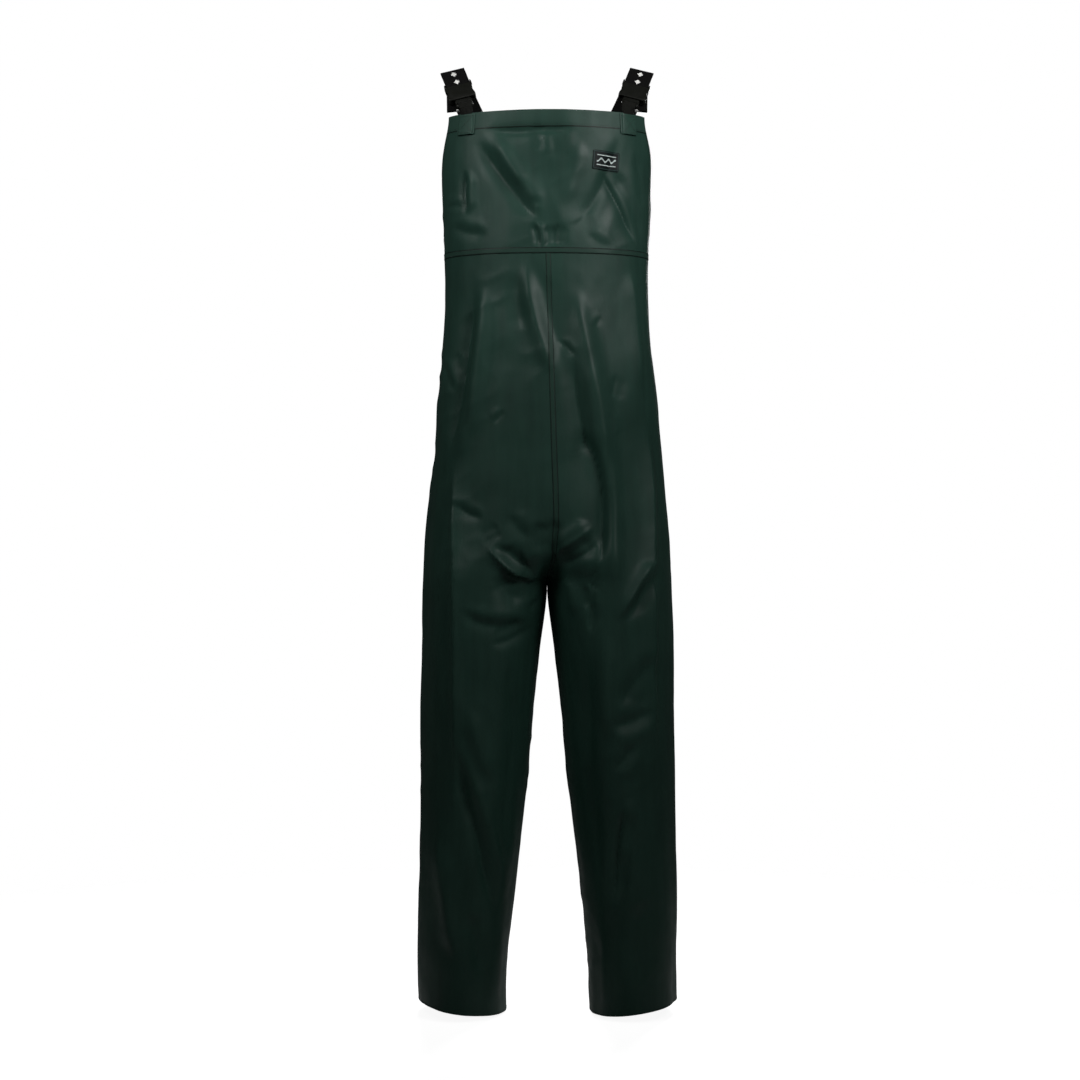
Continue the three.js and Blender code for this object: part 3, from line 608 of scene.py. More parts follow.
class NodeTree:
    """A material's shader tree, with short calls for the nodes that the finishes share."""

    def __init__(self, name: str) -> None:
        """Starts a material with a surface shader and an output.

        Args:
            name: the material's name.
        """
        self.material = bpy.data.materials.new(name)
        self.material.use_nodes = True
        self.tree = self.material.node_tree
        self.tree.nodes.clear()
        output = self.tree.nodes.new("ShaderNodeOutputMaterial")
        self.shader = self.tree.nodes.new("ShaderNodeBsdfPrincipled")
        self.link(self.shader.outputs[0], output.inputs["Surface"])

    def link(self, source: object, target: object) -> None:
        """Joins an output to an input."""
        self.tree.links.new(source, target)

    def add(self, kind: str, settings: dict | None = None, **inputs: object) -> bpy.types.Node:
        """Adds a node.

        Args:
            kind: the node's type name without its ShaderNode beginning.
            settings: properties to set on the node.
            inputs: values or outputs for its inputs, by name with _ for spaces, or i0, i1 by place.

        Returns:
            The node.
        """
        node = self.tree.nodes.new("ShaderNode" + kind)
        for key, value in (settings or {}).items():
            setattr(node, key, value)
        for key, value in inputs.items():
            place = int(key[1:]) if key[0] == "i" and key[1:].isdigit() else key.replace("_", " ")
            if isinstance(value, Socket):
                self.link(value, node.inputs[place])
            else:
                node.inputs[place].default_value = value
        return node

    def calc(self, operation: str, *values: object) -> Socket:
        """A Math node's result."""
        inputs = {f"i{i}": v for i, v in enumerate(values)}
        return self.add("Math", {"operation": operation}, **inputs).outputs[0]

    def noise(self, where: Socket, scale: float, detail: float = 2.0) -> Socket:
        """A Noise Texture's value."""
        return self.add("TexNoise", None, Vector=where, Scale=scale, Detail=detail).outputs["Fac"]

    def span(self, value: Socket, low: float, high: float) -> Socket:
        """Stretches a value from 0.3..0.7, where noise mostly lies, to low..high."""
        node = self.add("MapRange", None, Value=value, From_Min=0.3, From_Max=0.7, To_Min=low, To_Max=high)
        return node.outputs[0]

    def mix(self, share: object, a: object, b: object) -> Socket:
        """Mixes two colours."""
        node = self.add("Mix", {"data_type": "RGBA"}, i0=share, i6=a, i7=b)
        return node.outputs[2]

    def bump(
        self, height: Socket, strength: float, distance: float, under: object = None
    ) -> Socket:
        """A Bump node's normal.

        Args:
            height: the relief.
            strength: how much of it shows.
            distance: how deep it is, in metres.
            under: the normal of a coarser bump that it lies on.

        Returns:
            The normal.
        """
        node = self.add("Bump", None, Height=height, Strength=strength, Distance=distance)
        if under is not None:
            self.link(under, node.inputs["Normal"])
        return node.outputs[0]

    def place(self) -> Socket:
        """Object coordinates."""
        return self.add("TexCoord").outputs["Object"]

    def uv(self) -> tuple[Socket, Socket]:
        """The piece's own UV map, in metres, as two values."""
        parts = self.add("SeparateXYZ", None, Vector=self.add("UVMap").outputs[0])
        return parts.outputs[0], parts.outputs[1]

    def colour(self, value: object) -> None:
        """Gives the shader its base colour."""
        self.give("Base Color", value)

    def give(self, name: str, value: object) -> None:
        """Sets or links an input of the shader.

        Args:
            name: the input.
            value: a value, or the output to link.
        """
        if isinstance(value, Socket):
            self.link(value, self.shader.inputs[name])
        else:
            self.shader.inputs[name].default_value = value


Colour = tuple[float, float, float, float]


def shade(colour: Colour, times: float) -> Colour:
    """A colour made brighter or darker."""
    return (colour[0] * times, colour[1] * times, colour[2] * times, 1.0)


@dataclass(frozen=True)
class CoatedCloth:
    """Cloth with a smooth waterproof coating: satin, faintly mottled, with soft handling marks, and where
    asked a line of painted shade along its lower UV edge.
    """

    name: str = "coated_cloth"
    colour: Colour = (0.0188, 0.0500, 0.0372, 1.0)
    roughness: float = 0.46
    mottle: float = 0.14
    streak: float = 0.10
    # width of the painted shade line along the lower UV edge; 0 gives none
    edge_line: float = 0.0

    def build(self) -> Material:
        """Makes the material.

        Returns:
            The material.
        """
        t = NodeTree(self.name)
        p = t.place()
        broad = t.span(t.noise(p, 7.0, 3.0), 0.0, 1.0)
        pale, dark = shade(self.colour, 1 + self.mottle), shade(self.colour, 1 - self.mottle)
        mottled = t.mix(broad, dark, pale)
        upright = t.add("Mapping", None, Vector=p, Scale=(1.0, 1.0, 0.14)).outputs[0]
        streaks = t.span(t.noise(upright, 75.0, 4.0), 1 - self.streak, 1 + self.streak)
        streaked = t.add("VectorMath", {"operation": "SCALE"}, i0=mottled, Scale=streaks).outputs[0]
        speck = t.span(t.noise(p, 420.0, 1.0), 0.0, 1.0)
        cooler = (self.colour[0] * 0.84, self.colour[1] * 1.02, self.colour[2] * 1.06, 1.0)
        tone = t.mix(t.calc("MULTIPLY", speck, 0.35), streaked, cooler)
        # painted shade: a dark line along the lower UV edge, where a folded band's edge would shade the
        # cloth below it
        if self.edge_line:
            edge_shade = t.calc("LESS_THAN", t.uv()[1], self.edge_line)
            tone = t.mix(edge_shade, tone, shade(self.colour, 0.25))
        t.colour(tone)
        rough = t.span(t.noise(p, 16.0, 4.0), self.roughness - 0.06, self.roughness + 0.09)
        t.give("Roughness", rough)
        t.give("Specular IOR Level", 0.19)
        crease = t.bump(t.noise(p, 34.0, 4.0), 0.22, 1.6 * MM)
        grain = t.bump(t.noise(p, 900.0, 1.0), 0.12, 0.12 * MM, crease)
        t.give("Normal", grain)
        return t.material


@dataclass(frozen=True)
class KnitLining:
    """The knitted back of the cloth: matte, with fine wales."""

    name: str = "knit_lining"
    colour: Colour = (0.030, 0.047, 0.040, 1.0)
    wale: float = 1.1 * MM

    def build(self) -> Material:
        """Makes the material.

        Returns:
            The material.
        """
        t = NodeTree(self.name)
        u, v = t.uv()
        turn = 2 * math.pi / self.wale
        wales = t.calc("ABSOLUTE", t.calc("SINE", t.calc("MULTIPLY", u, turn)))
        courses = t.calc("ABSOLUTE", t.calc("SINE", t.calc("MULTIPLY", v, turn * 1.3)))
        knit = t.calc("MULTIPLY", wales, courses)
        t.colour(t.mix(knit, shade(self.colour, 0.7), shade(self.colour, 1.2)))
        t.give("Roughness", 0.9)
        t.give("Normal", t.bump(knit, 0.5, 0.3 * MM))
        return t.material


@dataclass(frozen=True)
class SeamEdge:
    """A lapped strip of the coated cloth: its two long edges are pressed down, and painted shade darkens
    them.
    """

    name: str = "lapped_seam"
    colour: Colour = (0.0195, 0.0480, 0.0360, 1.0)
    half_width: float = 4.5 * MM
    # width of the painted shade band inside each long edge
    line: float = 1.9 * MM

    def build(self) -> Material:
        """Makes the material.

        Returns:
            The material.
        """
        t = NodeTree(self.name)
        u, _ = t.uv()
        # painted shade: the long edges darken to near black in place of the groove's shadow; the same mask
        # also dips them in the bump
        inside = t.calc("SUBTRACT", self.half_width, t.calc("ABSOLUTE", u))
        limits = {"From_Min": 0.0, "From_Max": self.line, "To_Min": 1.0, "To_Max": 0.0}
        edge_shade = t.add("MapRange", None, Value=inside, **limits)
        t.colour(t.mix(edge_shade.outputs[0], self.colour, shade(self.colour, 0.06)))
        t.give("Roughness", 0.50)
        t.give("Specular IOR Level", 0.14)
        p = t.place()
        lie = t.bump(t.noise(p, 60.0, 3.0), 0.25, 1.0 * MM)
        t.give("Normal", t.bump(edge_shade.outputs[0], 0.8, -0.6 * MM, lie))
        return t.material


@dataclass(frozen=True)
class WeldTape:
    """Heat-sealing tape on the inside of the seams: thin, a little glossy, milky where it is glued."""

    name: str = "seam_tape"
    colour: Colour = (0.030, 0.056, 0.046, 1.0)

    def build(self) -> Material:
        """Makes the material.

        Returns:
            The material.
        """
        t = NodeTree(self.name)
        p = t.place()
        t.colour(t.mix(t.span(t.noise(p, 55.0, 3.0), 0.0, 1.0), self.colour, shade(self.colour, 1.6)))
        t.give("Roughness", 0.34)
        t.give("Normal", t.bump(t.noise(p, 140.0, 2.0), 0.2, 0.4 * MM))
        return t.material


@dataclass(frozen=True)
class Webbing:
    """Woven elastic: lengthwise ribs crossed by fine picks, with or without a row of plain lozenges."""

    name: str = "brace_webbing"
    colour: Colour = (0.0030, 0.0030, 0.0029, 1.0)
    rib: float = 1.9 * MM
    pick: float = 1.1 * MM
    mark: Colour | None = None
    mark_pitch: float = 21 * MM
    mark_half: tuple[float, float] = (4.6 * MM, 6.0 * MM)
    mark_start: float = 8.0 * MM

    def build(self) -> Material:
        """Makes the material.

        Returns:
            The material.
        """
        t = NodeTree(self.name)
        u, v = t.uv()
        ribs = t.calc("SINE", t.calc("MULTIPLY", u, 2 * math.pi / self.rib))
        picks = t.calc("SINE", t.calc("MULTIPLY", v, 2 * math.pi / self.pick))
        weave = t.calc("ADD", t.calc("MULTIPLY", ribs, 0.6), t.calc("MULTIPLY", picks, 0.4))
        thread = t.calc("ADD", t.calc("MULTIPLY", weave, 0.5), 0.5)
        ground = t.mix(thread, shade(self.colour, 0.6), shade(self.colour, 1.7))
        if self.mark is not None:
            place = t.calc("PINGPONG", t.calc("ADD", v, self.mark_start), self.mark_pitch / 2)
            wide, tall = self.mark_half
            across = t.calc("DIVIDE", t.calc("ABSOLUTE", u), wide)
            along = t.calc("DIVIDE", place, tall)
            inside = t.calc("LESS_THAN", t.calc("ADD", across, along), 1.0)
            ground = t.mix(inside, ground, self.mark)
        t.colour(ground)
        t.give("Roughness", 0.86)
        t.give("Specular IOR Level", 0.10)
        t.give("Normal", t.bump(weave, 0.55, 0.35 * MM))
        return t.material


@dataclass(frozen=True)
class MouldedPlastic:
    """Moulded acetal of the buckles: near black with an olive cast, satin."""

    name: str = "buckle_plastic"
    colour: Colour = (0.0060, 0.0065, 0.0050, 1.0)

    def build(self) -> Material:
        """Makes the material.

        Returns:
            The material.
        """
        t = NodeTree(self.name)
        p = t.place()
        t.colour(t.mix(t.noise(p, 160.0, 2.0), shade(self.colour, 0.85), shade(self.colour, 1.2)))
        t.give("Roughness", t.span(t.noise(p, 90.0, 2.0), 0.34, 0.48))
        t.give("Specular IOR Level", 0.30)
        t.give("Normal", t.bump(t.noise(p, 1500.0, 1.0), 0.18, 0.08 * MM))
        return t.material


@dataclass(frozen=True)
class LabelRubber:
    """A moulded patch: a dark ground, a raised pale rim line and one wave between two thin rules."""

    width: float
    height: float
    name: str = "label"
    ground: Colour = (0.0018, 0.0055, 0.0055, 1.0)
    print_colour: Colour = (0.52, 0.60, 0.58, 1.0)
    rim_colour: Colour = (0.020, 0.045, 0.040, 1.0)
    rim: float = 1.6 * MM
    line: float = 0.55 * MM
    margin: float = 6 * MM
    wave_pitch: float = 12.5 * MM
    wave_height: float = 2.3 * MM
    wave_half: float = 1.3 * MM
    rule_height: float = 7.4 * MM
    rule_half: float = 0.7 * MM

    def build(self) -> Material:
        """Makes the material.

        Returns:
            The material.
        """
        t = NodeTree(self.name)
        u, v = t.uv()
        off_x = t.calc("SUBTRACT", self.width / 2 - self.rim, t.calc("ABSOLUTE", u))
        off_y = t.calc("SUBTRACT", self.height / 2 - self.rim, t.calc("ABSOLUTE", v))
        inset = t.calc("ABSOLUTE", t.calc("MINIMUM", off_x, off_y))
        rim = t.calc("LESS_THAN", inset, self.line)
        swing = t.calc("SINE", t.calc("MULTIPLY", u, 2 * math.pi / self.wave_pitch))
        crest = t.calc("MULTIPLY", swing, self.wave_height)
        wave = t.calc("LESS_THAN", t.calc("ABSOLUTE", t.calc("SUBTRACT", v, crest)), self.wave_half)
        rule = t.calc("ABSOLUTE", t.calc("SUBTRACT", t.calc("ABSOLUTE", v), self.rule_height))
        rules = t.calc("LESS_THAN", rule, self.rule_half)
        within = t.calc("LESS_THAN", t.calc("ABSOLUTE", u), self.width / 2 - self.margin)
        drawn = t.calc("MULTIPLY", t.calc("MAXIMUM", wave, rules), within)
        printed = t.calc("MAXIMUM", rim, drawn)
        t.colour(t.mix(drawn, t.mix(rim, self.ground, self.rim_colour), self.print_colour))
        t.give("Roughness", 0.50)
        t.give("Specular IOR Level", 0.15)
        t.give("Normal", t.bump(printed, 0.7, 0.35 * MM))
        return t.material


@dataclass(frozen=True)
class Thread:
    """Dark polyester sewing thread."""

    name: str = "sewing_thread"
    colour: Colour = (0.0045, 0.0090, 0.0072, 1.0)

    def build(self) -> Material:
        """Makes the material.

        Returns:
            The material.
        """
        t = NodeTree(self.name)
        t.colour(t.mix(t.noise(t.place(), 700.0, 1.0), shade(self.colour, 0.7), shade(self.colour, 1.5)))
        t.give("Roughness", 0.6)
        return t.material


@dataclass
class Finishes:
    """Every material, made once and shared by the pieces."""

    label_size: tuple[float, float]

    def __post_init__(self) -> None:
        """Builds the materials."""
        self.cloth = CoatedCloth().build()
        patch, band = (0.0235, 0.0570, 0.0425, 1.0), (0.0225, 0.0540, 0.0405, 1.0)
        facing = (0.0190, 0.0450, 0.0345, 1.0)
        self.patch = CoatedCloth("patch_cloth", patch, 0.44, 0.08).build()
        # the hem band gets a 1.7 mm line of painted shade along its lower edge
        self.band = CoatedCloth("hem_band_cloth", band, 0.46, 0.10, 0.08, 1.7 * MM).build()
        self.facing = CoatedCloth("facing_cloth", facing, 0.55, 0.10).build()
        self.lining = KnitLining().build()
        self.lap = SeamEdge().build()
        self.tape = WeldTape().build()
        self.brace = Webbing().build()
        self.marked_brace = Webbing("marked_webbing", mark=(0.78, 0.78, 0.75, 1.0)).build()
        self.tab = Webbing("tab_webbing", (0.0065, 0.0068, 0.0058, 1.0), 1.5 * MM, 0.9 * MM).build()
        self.plastic = MouldedPlastic().build()
        self.label = LabelRubber(*self.label_size).build()
        self.thread = Thread().build()


# ---- Meshes ----


def mesh_object(
    name: str,
    points: Array,
    quads: Array,
    materials: Sequence[Material],
    slots: Array | None = None,
    uv: Array | None = None,
    normals: Array | None = None,
) -> Piece:
    """Makes a mesh object at the origin out of four-sided faces.

    Args:
        name: the piece's name.
        points: its vertices.
        quads: four vertex numbers a face.
        materials: its materials.
        slots: each face's material, by place in materials.
        uv: a UV for each vertex.
        normals: a shading normal for each corner of each face.

    Returns:
        The linked object.
    """
    mesh = bpy.data.meshes.new(name)
    mesh.vertices.add(len(points))
    mesh.vertices.foreach_set("co", np.asarray(points, np.float32).ravel())
    mesh.loops.add(quads.size)
    mesh.loops.foreach_set("vertex_index", quads.astype(np.int32).ravel())
    mesh.polygons.add(len(quads))
    mesh.polygons.foreach_set("loop_start", np.arange(0, quads.size, 4, dtype=np.int32))
    if slots is not None:
        mesh.polygons.foreach_set("material_index", slots.astype(np.int32))
    mesh.update(calc_edges=True)
    mesh.shade_smooth()
    if uv is not None:
        layer = mesh.uv_layers.new(name="UVMap")
        layer.data.foreach_set("uv", uv[quads.ravel()].astype(np.float32).ravel())
    if normals is not None:
        mesh.normals_split_custom_set(normals.reshape(-1, 3).tolist())
    for material in materials:
        mesh.materials.append(material)
    made = bpy.data.objects.new(name, mesh)
    bpy.context.scene.collection.objects.link(made)
    return made


def grid_normals(p: Array) -> Array:
    """Outward unit normals of a grid of points whose columns run right and whose rows run up."""
    return unit(np.cross(np.gradient(p, axis=1), np.gradient(p, axis=0)))


@dataclass
class Skin:
    """A grid of points on the cloth's outer face, with their normals and their flat places as UV."""

    points: Array
    normals: Array
    uv: Array
    cut_area: float = 0.0

    def lifted(self, lift: float | Array) -> "Skin":
        """The same grid moved along its normals."""
        lift = np.asarray(lift, float)[..., None] * np.ones(self.points.shape[:2] + (1,))
        return Skin(self.points + self.normals * lift, self.normals, self.uv)

    def solid(
        self,
        name: str,
        thickness: float,
        outside: Material,
        inside: Material,
        ring: bool = False,
    ) -> Piece:
        """Gives the grid a thickness inwards, with a wall round its edge.

        Args:
            name: the piece's name.
            thickness: how thick the layer is.
            outside: the material of its outer face and edge.
            inside: the material of its inner face.
            ring: whether its last column joins its first.

        Returns:
            The piece.
        """
        rows, columns = self.points.shape[:2]
        outer = self.points.reshape(-1, 3)
        n = self.normals.reshape(-1, 3)
        inner = outer - n * thickness
        index = np.arange(rows * columns).reshape(rows, columns)
        if ring:
            index = np.concatenate([index, index[:, :1]], axis=1)
        a, b, c, d = (i.ravel() for i in (index[:-1, :-1], index[:-1, 1:], index[1:, 1:], index[1:, :-1]))
        under = rows * columns
        faces = [np.stack([a, b, c, d], 1), np.stack([a, d, c, b], 1) + under]
        edges = [(index[0, :-1], index[0, 1:]), (index[-1, 1:], index[-1, :-1])]
        if not ring:
            edges += [(index[1:, 0], index[:-1, 0]), (index[:-1, -1], index[1:, -1])]
        faces += [np.stack([s + under, e + under, e, s], 1) for s, e in edges]
        points = np.concatenate([outer, inner])
        quads = np.concatenate(faces)
        corner = np.concatenate([n, -n])[quads]
        wall = len(faces[0]) + len(faces[1])
        p = points[quads[wall:]]
        flat = unit(np.cross(p[:, 2] - p[:, 0], p[:, 3] - p[:, 1]))
        corner[wall:] = flat[:, None, :]
        slots = np.zeros(len(quads))
        slots[len(faces[0]) : wall] = 1
        uv = np.tile(self.uv.reshape(-1, 2), (2, 1))
        return mesh_object(name, points, quads, (outside, inside), slots, uv, corner)


@dataclass
class ClothSurface:
    """The form with its folds on it, from which every cloth piece is cut."""

    shape: BodyShape
    folds: FoldField
    thickness: float = 0.9 * MM

    def skin(self, chart: Chart, across: Array, up: Array) -> Skin:
        """Lays a grid on the folded surface.

        Args:
            chart: places the grid's (across, up) values on the unfolded form.
            across: the columns' values, running right as seen from outside.
            up: the rows' values, running up.

        Returns:
            The grid on the cloth's outer face.
        """
        u = np.concatenate([[2 * across[0] - across[1]], across, [2 * across[-1] - across[-2]]])
        v = np.concatenate([[2 * up[0] - up[1]], up, [2 * up[-1] - up[-2]]])
        grid_u, grid_v = np.meshgrid(u, v)
        base = self.shape.swayed(chart(grid_u, grid_v))
        moved = base + grid_normals(base) * self.folds.offset(base)[..., None]
        normals = grid_normals(moved)[1:-1, 1:-1]
        points, base = moved[1:-1, 1:-1], base[1:-1, 1:-1]
        steps_across = np.linalg.norm(np.diff(base, axis=1), axis=-1)
        steps_up = np.linalg.norm(np.diff(base, axis=0), axis=-1)
        run_u = np.pad(np.cumsum(steps_across, axis=1), ((0, 0), (1, 0)))
        run_v = np.pad(np.cumsum(steps_up, axis=0), ((1, 0), (0, 0)))
        uv = np.stack([run_u - run_u[:, -1:] / 2, run_v], -1)
        cell = np.cross(base[:-1, 1:] - base[:-1, :-1], base[1:, :-1] - base[:-1, :-1])
        return Skin(points, normals, uv, float(np.linalg.norm(cell, axis=-1).sum()))


def wear(piece: Piece, slot: str, *nodes: str, body: str = "root") -> Piece:
    """Puts a finished piece on its body, hides the CAD nodes it replaces and logs its face count.

    Args:
        piece: the mesh object.
        slot: not used.
        nodes: the CAD nodes it replaces.
        body: the body that it moves with.

    Returns:
        The piece.
    """
    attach(piece, body)
    if nodes:
        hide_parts(*nodes)
    log.info("%s on %s: %d faces", piece.name, body, len(piece.data.polygons))
    return piece


# ---- Sewing ----


@dataclass
class StitchRows:
    """Rows of lockstitch, laid by one Geometry Nodes tree along lines on the cloth."""

    material: Material
    pitch: float = 3.2 * MM
    length: float = 2.5 * MM
    width: float = 0.62 * MM

    def __post_init__(self) -> None:
        """Builds the tree."""
        tree = bpy.data.node_groups.new("stitch_rows", "GeometryNodeTree")
        face = tree.interface
        face.new_socket("Geometry", in_out="INPUT", socket_type="NodeSocketGeometry")
        for name in ("Pitch", "Stitch Length", "Stitch Width"):
            face.new_socket(name, in_out="INPUT", socket_type="NodeSocketFloat")
        face.new_socket("Geometry", in_out="OUTPUT", socket_type="NodeSocketGeometry")
        new, link = tree.nodes.new, tree.links.new
        given, out = new("NodeGroupInput"), new("NodeGroupOutput")
        curve, even = new("GeometryNodeMeshToCurve"), new("GeometryNodeResampleCurve")
        even.mode = "LENGTH"
        link(given.outputs["Geometry"], curve.inputs["Mesh"])
        link(curve.outputs["Curve"], even.inputs["Curve"])
        link(given.outputs["Pitch"], even.inputs["Length"])
        ball = new("GeometryNodeMeshUVSphere")
        ball.inputs["Segments"].default_value = 6
        ball.inputs["Rings"].default_value = 4
        ball.inputs["Radius"].default_value = 0.5
        size = new("ShaderNodeCombineXYZ")
        link(given.outputs["Stitch Length"], size.inputs["X"])
        link(given.outputs["Stitch Width"], size.inputs["Y"])
        link(given.outputs["Stitch Width"], size.inputs["Z"])
        turn = new("FunctionNodeAlignRotationToVector")
        turn.axis = "X"
        link(new("GeometryNodeInputTangent").outputs[0], turn.inputs["Vector"])
        place = new("GeometryNodeInstanceOnPoints")
        link(even.outputs["Curve"], place.inputs["Points"])
        link(ball.outputs["Mesh"], place.inputs["Instance"])
        link(turn.outputs[0], place.inputs["Rotation"])
        link(size.outputs[0], place.inputs["Scale"])
        real, finish = new("GeometryNodeRealizeInstances"), new("GeometryNodeSetMaterial")
        finish.inputs["Material"].default_value = self.material
        link(place.outputs["Instances"], real.inputs["Geometry"])
        link(real.outputs["Geometry"], finish.inputs["Geometry"])
        link(finish.outputs["Geometry"], out.inputs["Geometry"])
        self.tree = tree

    def sew(self, name: str, lines: Sequence[Array]) -> Piece:
        """Lays stitches along lines.

        Args:
            name: the piece's name.
            lines: rows of points, each at least two long.

        Returns:
            One mesh with every stitch.
        """
        points = np.concatenate(lines)
        guide = bpy.data.meshes.new(name + "_guide")
        ends = np.cumsum([0] + [len(line) for line in lines])
        edges = [(i, i + 1) for a, b in zip(ends[:-1], ends[1:]) for i in range(a, b - 1)]
        guide.from_pydata(points.tolist(), edges, [])
        carrier = bpy.data.objects.new(name + "_guide", guide)
        bpy.context.scene.collection.objects.link(carrier)
        modifier = carrier.modifiers.new("stitches", "NODES")
        modifier.node_group = self.tree
        values = {"Pitch": self.pitch, "Stitch Length": self.length, "Stitch Width": self.width}
        for item in self.tree.interface.items_tree:
            if item.name in values:
                modifier[item.identifier] = values[item.name]
        graph = bpy.context.evaluated_depsgraph_get()
        mesh = bpy.data.meshes.new_from_object(carrier.evaluated_get(graph), depsgraph=graph)
        bpy.data.objects.remove(carrier)
        mesh.name = name
        mesh.shade_smooth()
        made = bpy.data.objects.new(name, mesh)
        bpy.context.scene.collection.objects.link(made)
        return made


# ---- Garment ----


@dataclass
class Garment:
    """The six cloth panels, their lapped seams, inner tapes, hems and facings."""

    surface: ClothSurface
    finishes: Finishes
    stitches: StitchRows
    leg_columns: int = 78
    leg_spacing: float = 3.7 * MM
    bib_columns: int = 150
    waist_columns: int = 221
    lap_width: float = 9 * MM
    lap_lift: float = 0.55 * MM
    lap_thickness: float = 0.4 * MM
    lap_gap: float = 0.4 * MM
    narrow_share: float = 0.6
    narrow_lift: float = 0.35 * MM
    narrow_thickness: float = 0.3 * MM
    stitch_inset: float = 1.2 * MM
    thread_lift: float = 0.2 * MM
    tape_width: float = 20 * MM
    tape_thickness: float = 0.25 * MM
    tape_depth: float = 0.3 * MM
    tape_gap: float = 0.6 * MM
    bib_hem: float = 25 * MM
    leg_hem: float = 25 * MM
    back_hem: float = 22 * MM
    armhole_facing: float = 12 * MM
    hem_roll: float = 0.55 * MM
    hem_cloth: float = 0.4 * MM
    binding: float = 0.35 * MM
    tape_start: float = 0.066
    pieces: dict[str, Piece] = field(default_factory=dict)
    flats: dict[str, tuple[float, float, float]] = field(default_factory=dict)

    @property
    def shape(self) -> BodyShape:
        """The form under the cloth."""
        return self.surface.shape

    @property
    def leg_girth(self) -> float:
        """About half the way round a leg at the knee, which turns metres into turns of its chart."""
        s = self.shape
        return math.pi * (s.half_depths[1] + (s.outer_widths[1] - s.inner_widths[1]) / 2)

    def rows(self, low: float, high: float, spacing: float | None = None) -> Array:
        """Evenly spaced heights from low to high."""
        return np.linspace(low, high, max(2, round((high - low) / (spacing or self.leg_spacing)) + 1))

    def panel(self, name: str, node: str, skin: Skin) -> None:
        """Makes one cloth panel and keeps its flat size.

        Args:
            name: the piece's name.
            node: the CAD node it replaces.
            skin: its grid.
        """
        piece = skin.solid(name, self.surface.thickness, self.finishes.cloth, self.finishes.lining)
        self.pieces[name] = wear(piece, "coated_cloth", node)
        wide = float(np.ptp(skin.uv[..., 0]))
        tall = float(np.ptp(skin.uv[..., 1]))
        self.flats[name] = (wide, tall, skin.cut_area)

    def legs(self) -> None:
        """The four leg panels."""
        up = self.rows(0.0, self.shape.waist_seam)
        for side in Side:
            chart = self.shape.leg(side)
            turns = {"front": (0.0, 0.5), "back": (0.5, 1.0)}
            for face, (start, end) in turns.items():
                across = np.linspace(start, end, self.leg_columns)[:: side.value]
                name = f"{side.word}_{face}_leg_cloth"
                self.panel(name, f"{side.word}_{face}_leg_panel", self.surface.skin(chart, across, up))

    def bibs(self) -> None:
        """The front and back bib panels."""
        across = np.linspace(-1, 1, self.bib_columns)
        up = self.rows(self.shape.waist_seam, self.shape.bib_top, 3.2 * MM)
        self.panel("front_bib_cloth", "front_bib_panel", self.surface.skin(self.shape.bib, across, up))
        up = np.linspace(0, 1, 28)
        self.panel("back_bib_cloth", "back_bib_panel", self.surface.skin(self.shape.back, across, up))

    def strip(
        self,
        name: str,
        chart: Chart,
        across: Array,
        up: Array,
        lift: float,
        thickness: float,
        material: Material,
        ring: bool = False,
    ) -> Piece:
        """A strip that follows the cloth.

        Args:
            name: the piece's name.
            chart: places the strip's grid.
            across: the grid's columns.
            up: the grid's rows.
            lift: how far the strip's face is outside the cloth's.
            thickness: how thick it is.
            material: its material.
            ring: whether it closes on itself.

        Returns:
            The piece.
        """
        skin = self.surface.skin(chart, across, up).lifted(lift)
        return skin.solid(name, thickness, material, material, ring)

    def round_waist(self, half: float, rows: int) -> tuple[Chart, Array, Array]:
        """A band round the waist seam, running clockwise from the front centre.

        Args:
            half: half its width.
            rows: how many rows it has.

        Returns:
            Its chart, columns and rows.
        """
        across = np.linspace(90, -270, self.waist_columns)[:-1]
        up = np.linspace(self.shape.waist_seam - half, self.shape.waist_seam + half, rows)
        return self.shape.torso, across, up

    def rise_chart(self, back: bool) -> Chart:
        """The chart of a band over a centre seam.

        Args:
            back: whether the seam is behind.

        Returns:
            A function of metres from the seam and height.
        """

        def at(across: Array, height: Array) -> Array:
            """Points beside the seam.

            Args:
                across: metres from it.
                height: the height above the hems.

            Returns:
                The points.
            """
            turn = np.abs(across) / self.leg_girth
            turn = 1 - turn if back else turn
            point = self.shape.leg(Side.LEFT)(turn, height)
            sign = np.sign(across) * (-1 if back else 1)
            return np.concatenate([point[..., :1] * sign[..., None], point[..., 1:]], -1)

        return at

    def seam_chart(self, side: Side, turn: float) -> Chart:
        """The chart of a band over a leg's side seam or inseam, by metres from the seam and height."""
        chart, girth = self.shape.leg(side), self.leg_girth
        return lambda across, height: chart(turn + side.value * across / girth, height)

    @staticmethod
    def turned_uv(piece: Piece) -> None:
        """Swaps a band's UV so that its first value runs across the seam.

        Args:
            piece: the band.
        """
        layer = piece.data.uv_layers["UVMap"].data
        uv = np.zeros(len(layer) * 2, np.float32)
        layer.foreach_get("uv", uv)
        uv = uv.reshape(-1, 2)[:, ::-1].copy()
        uv[:, 0] -= (uv[:, 0].min() + uv[:, 0].max()) / 2
        layer.foreach_set("uv", uv.ravel())

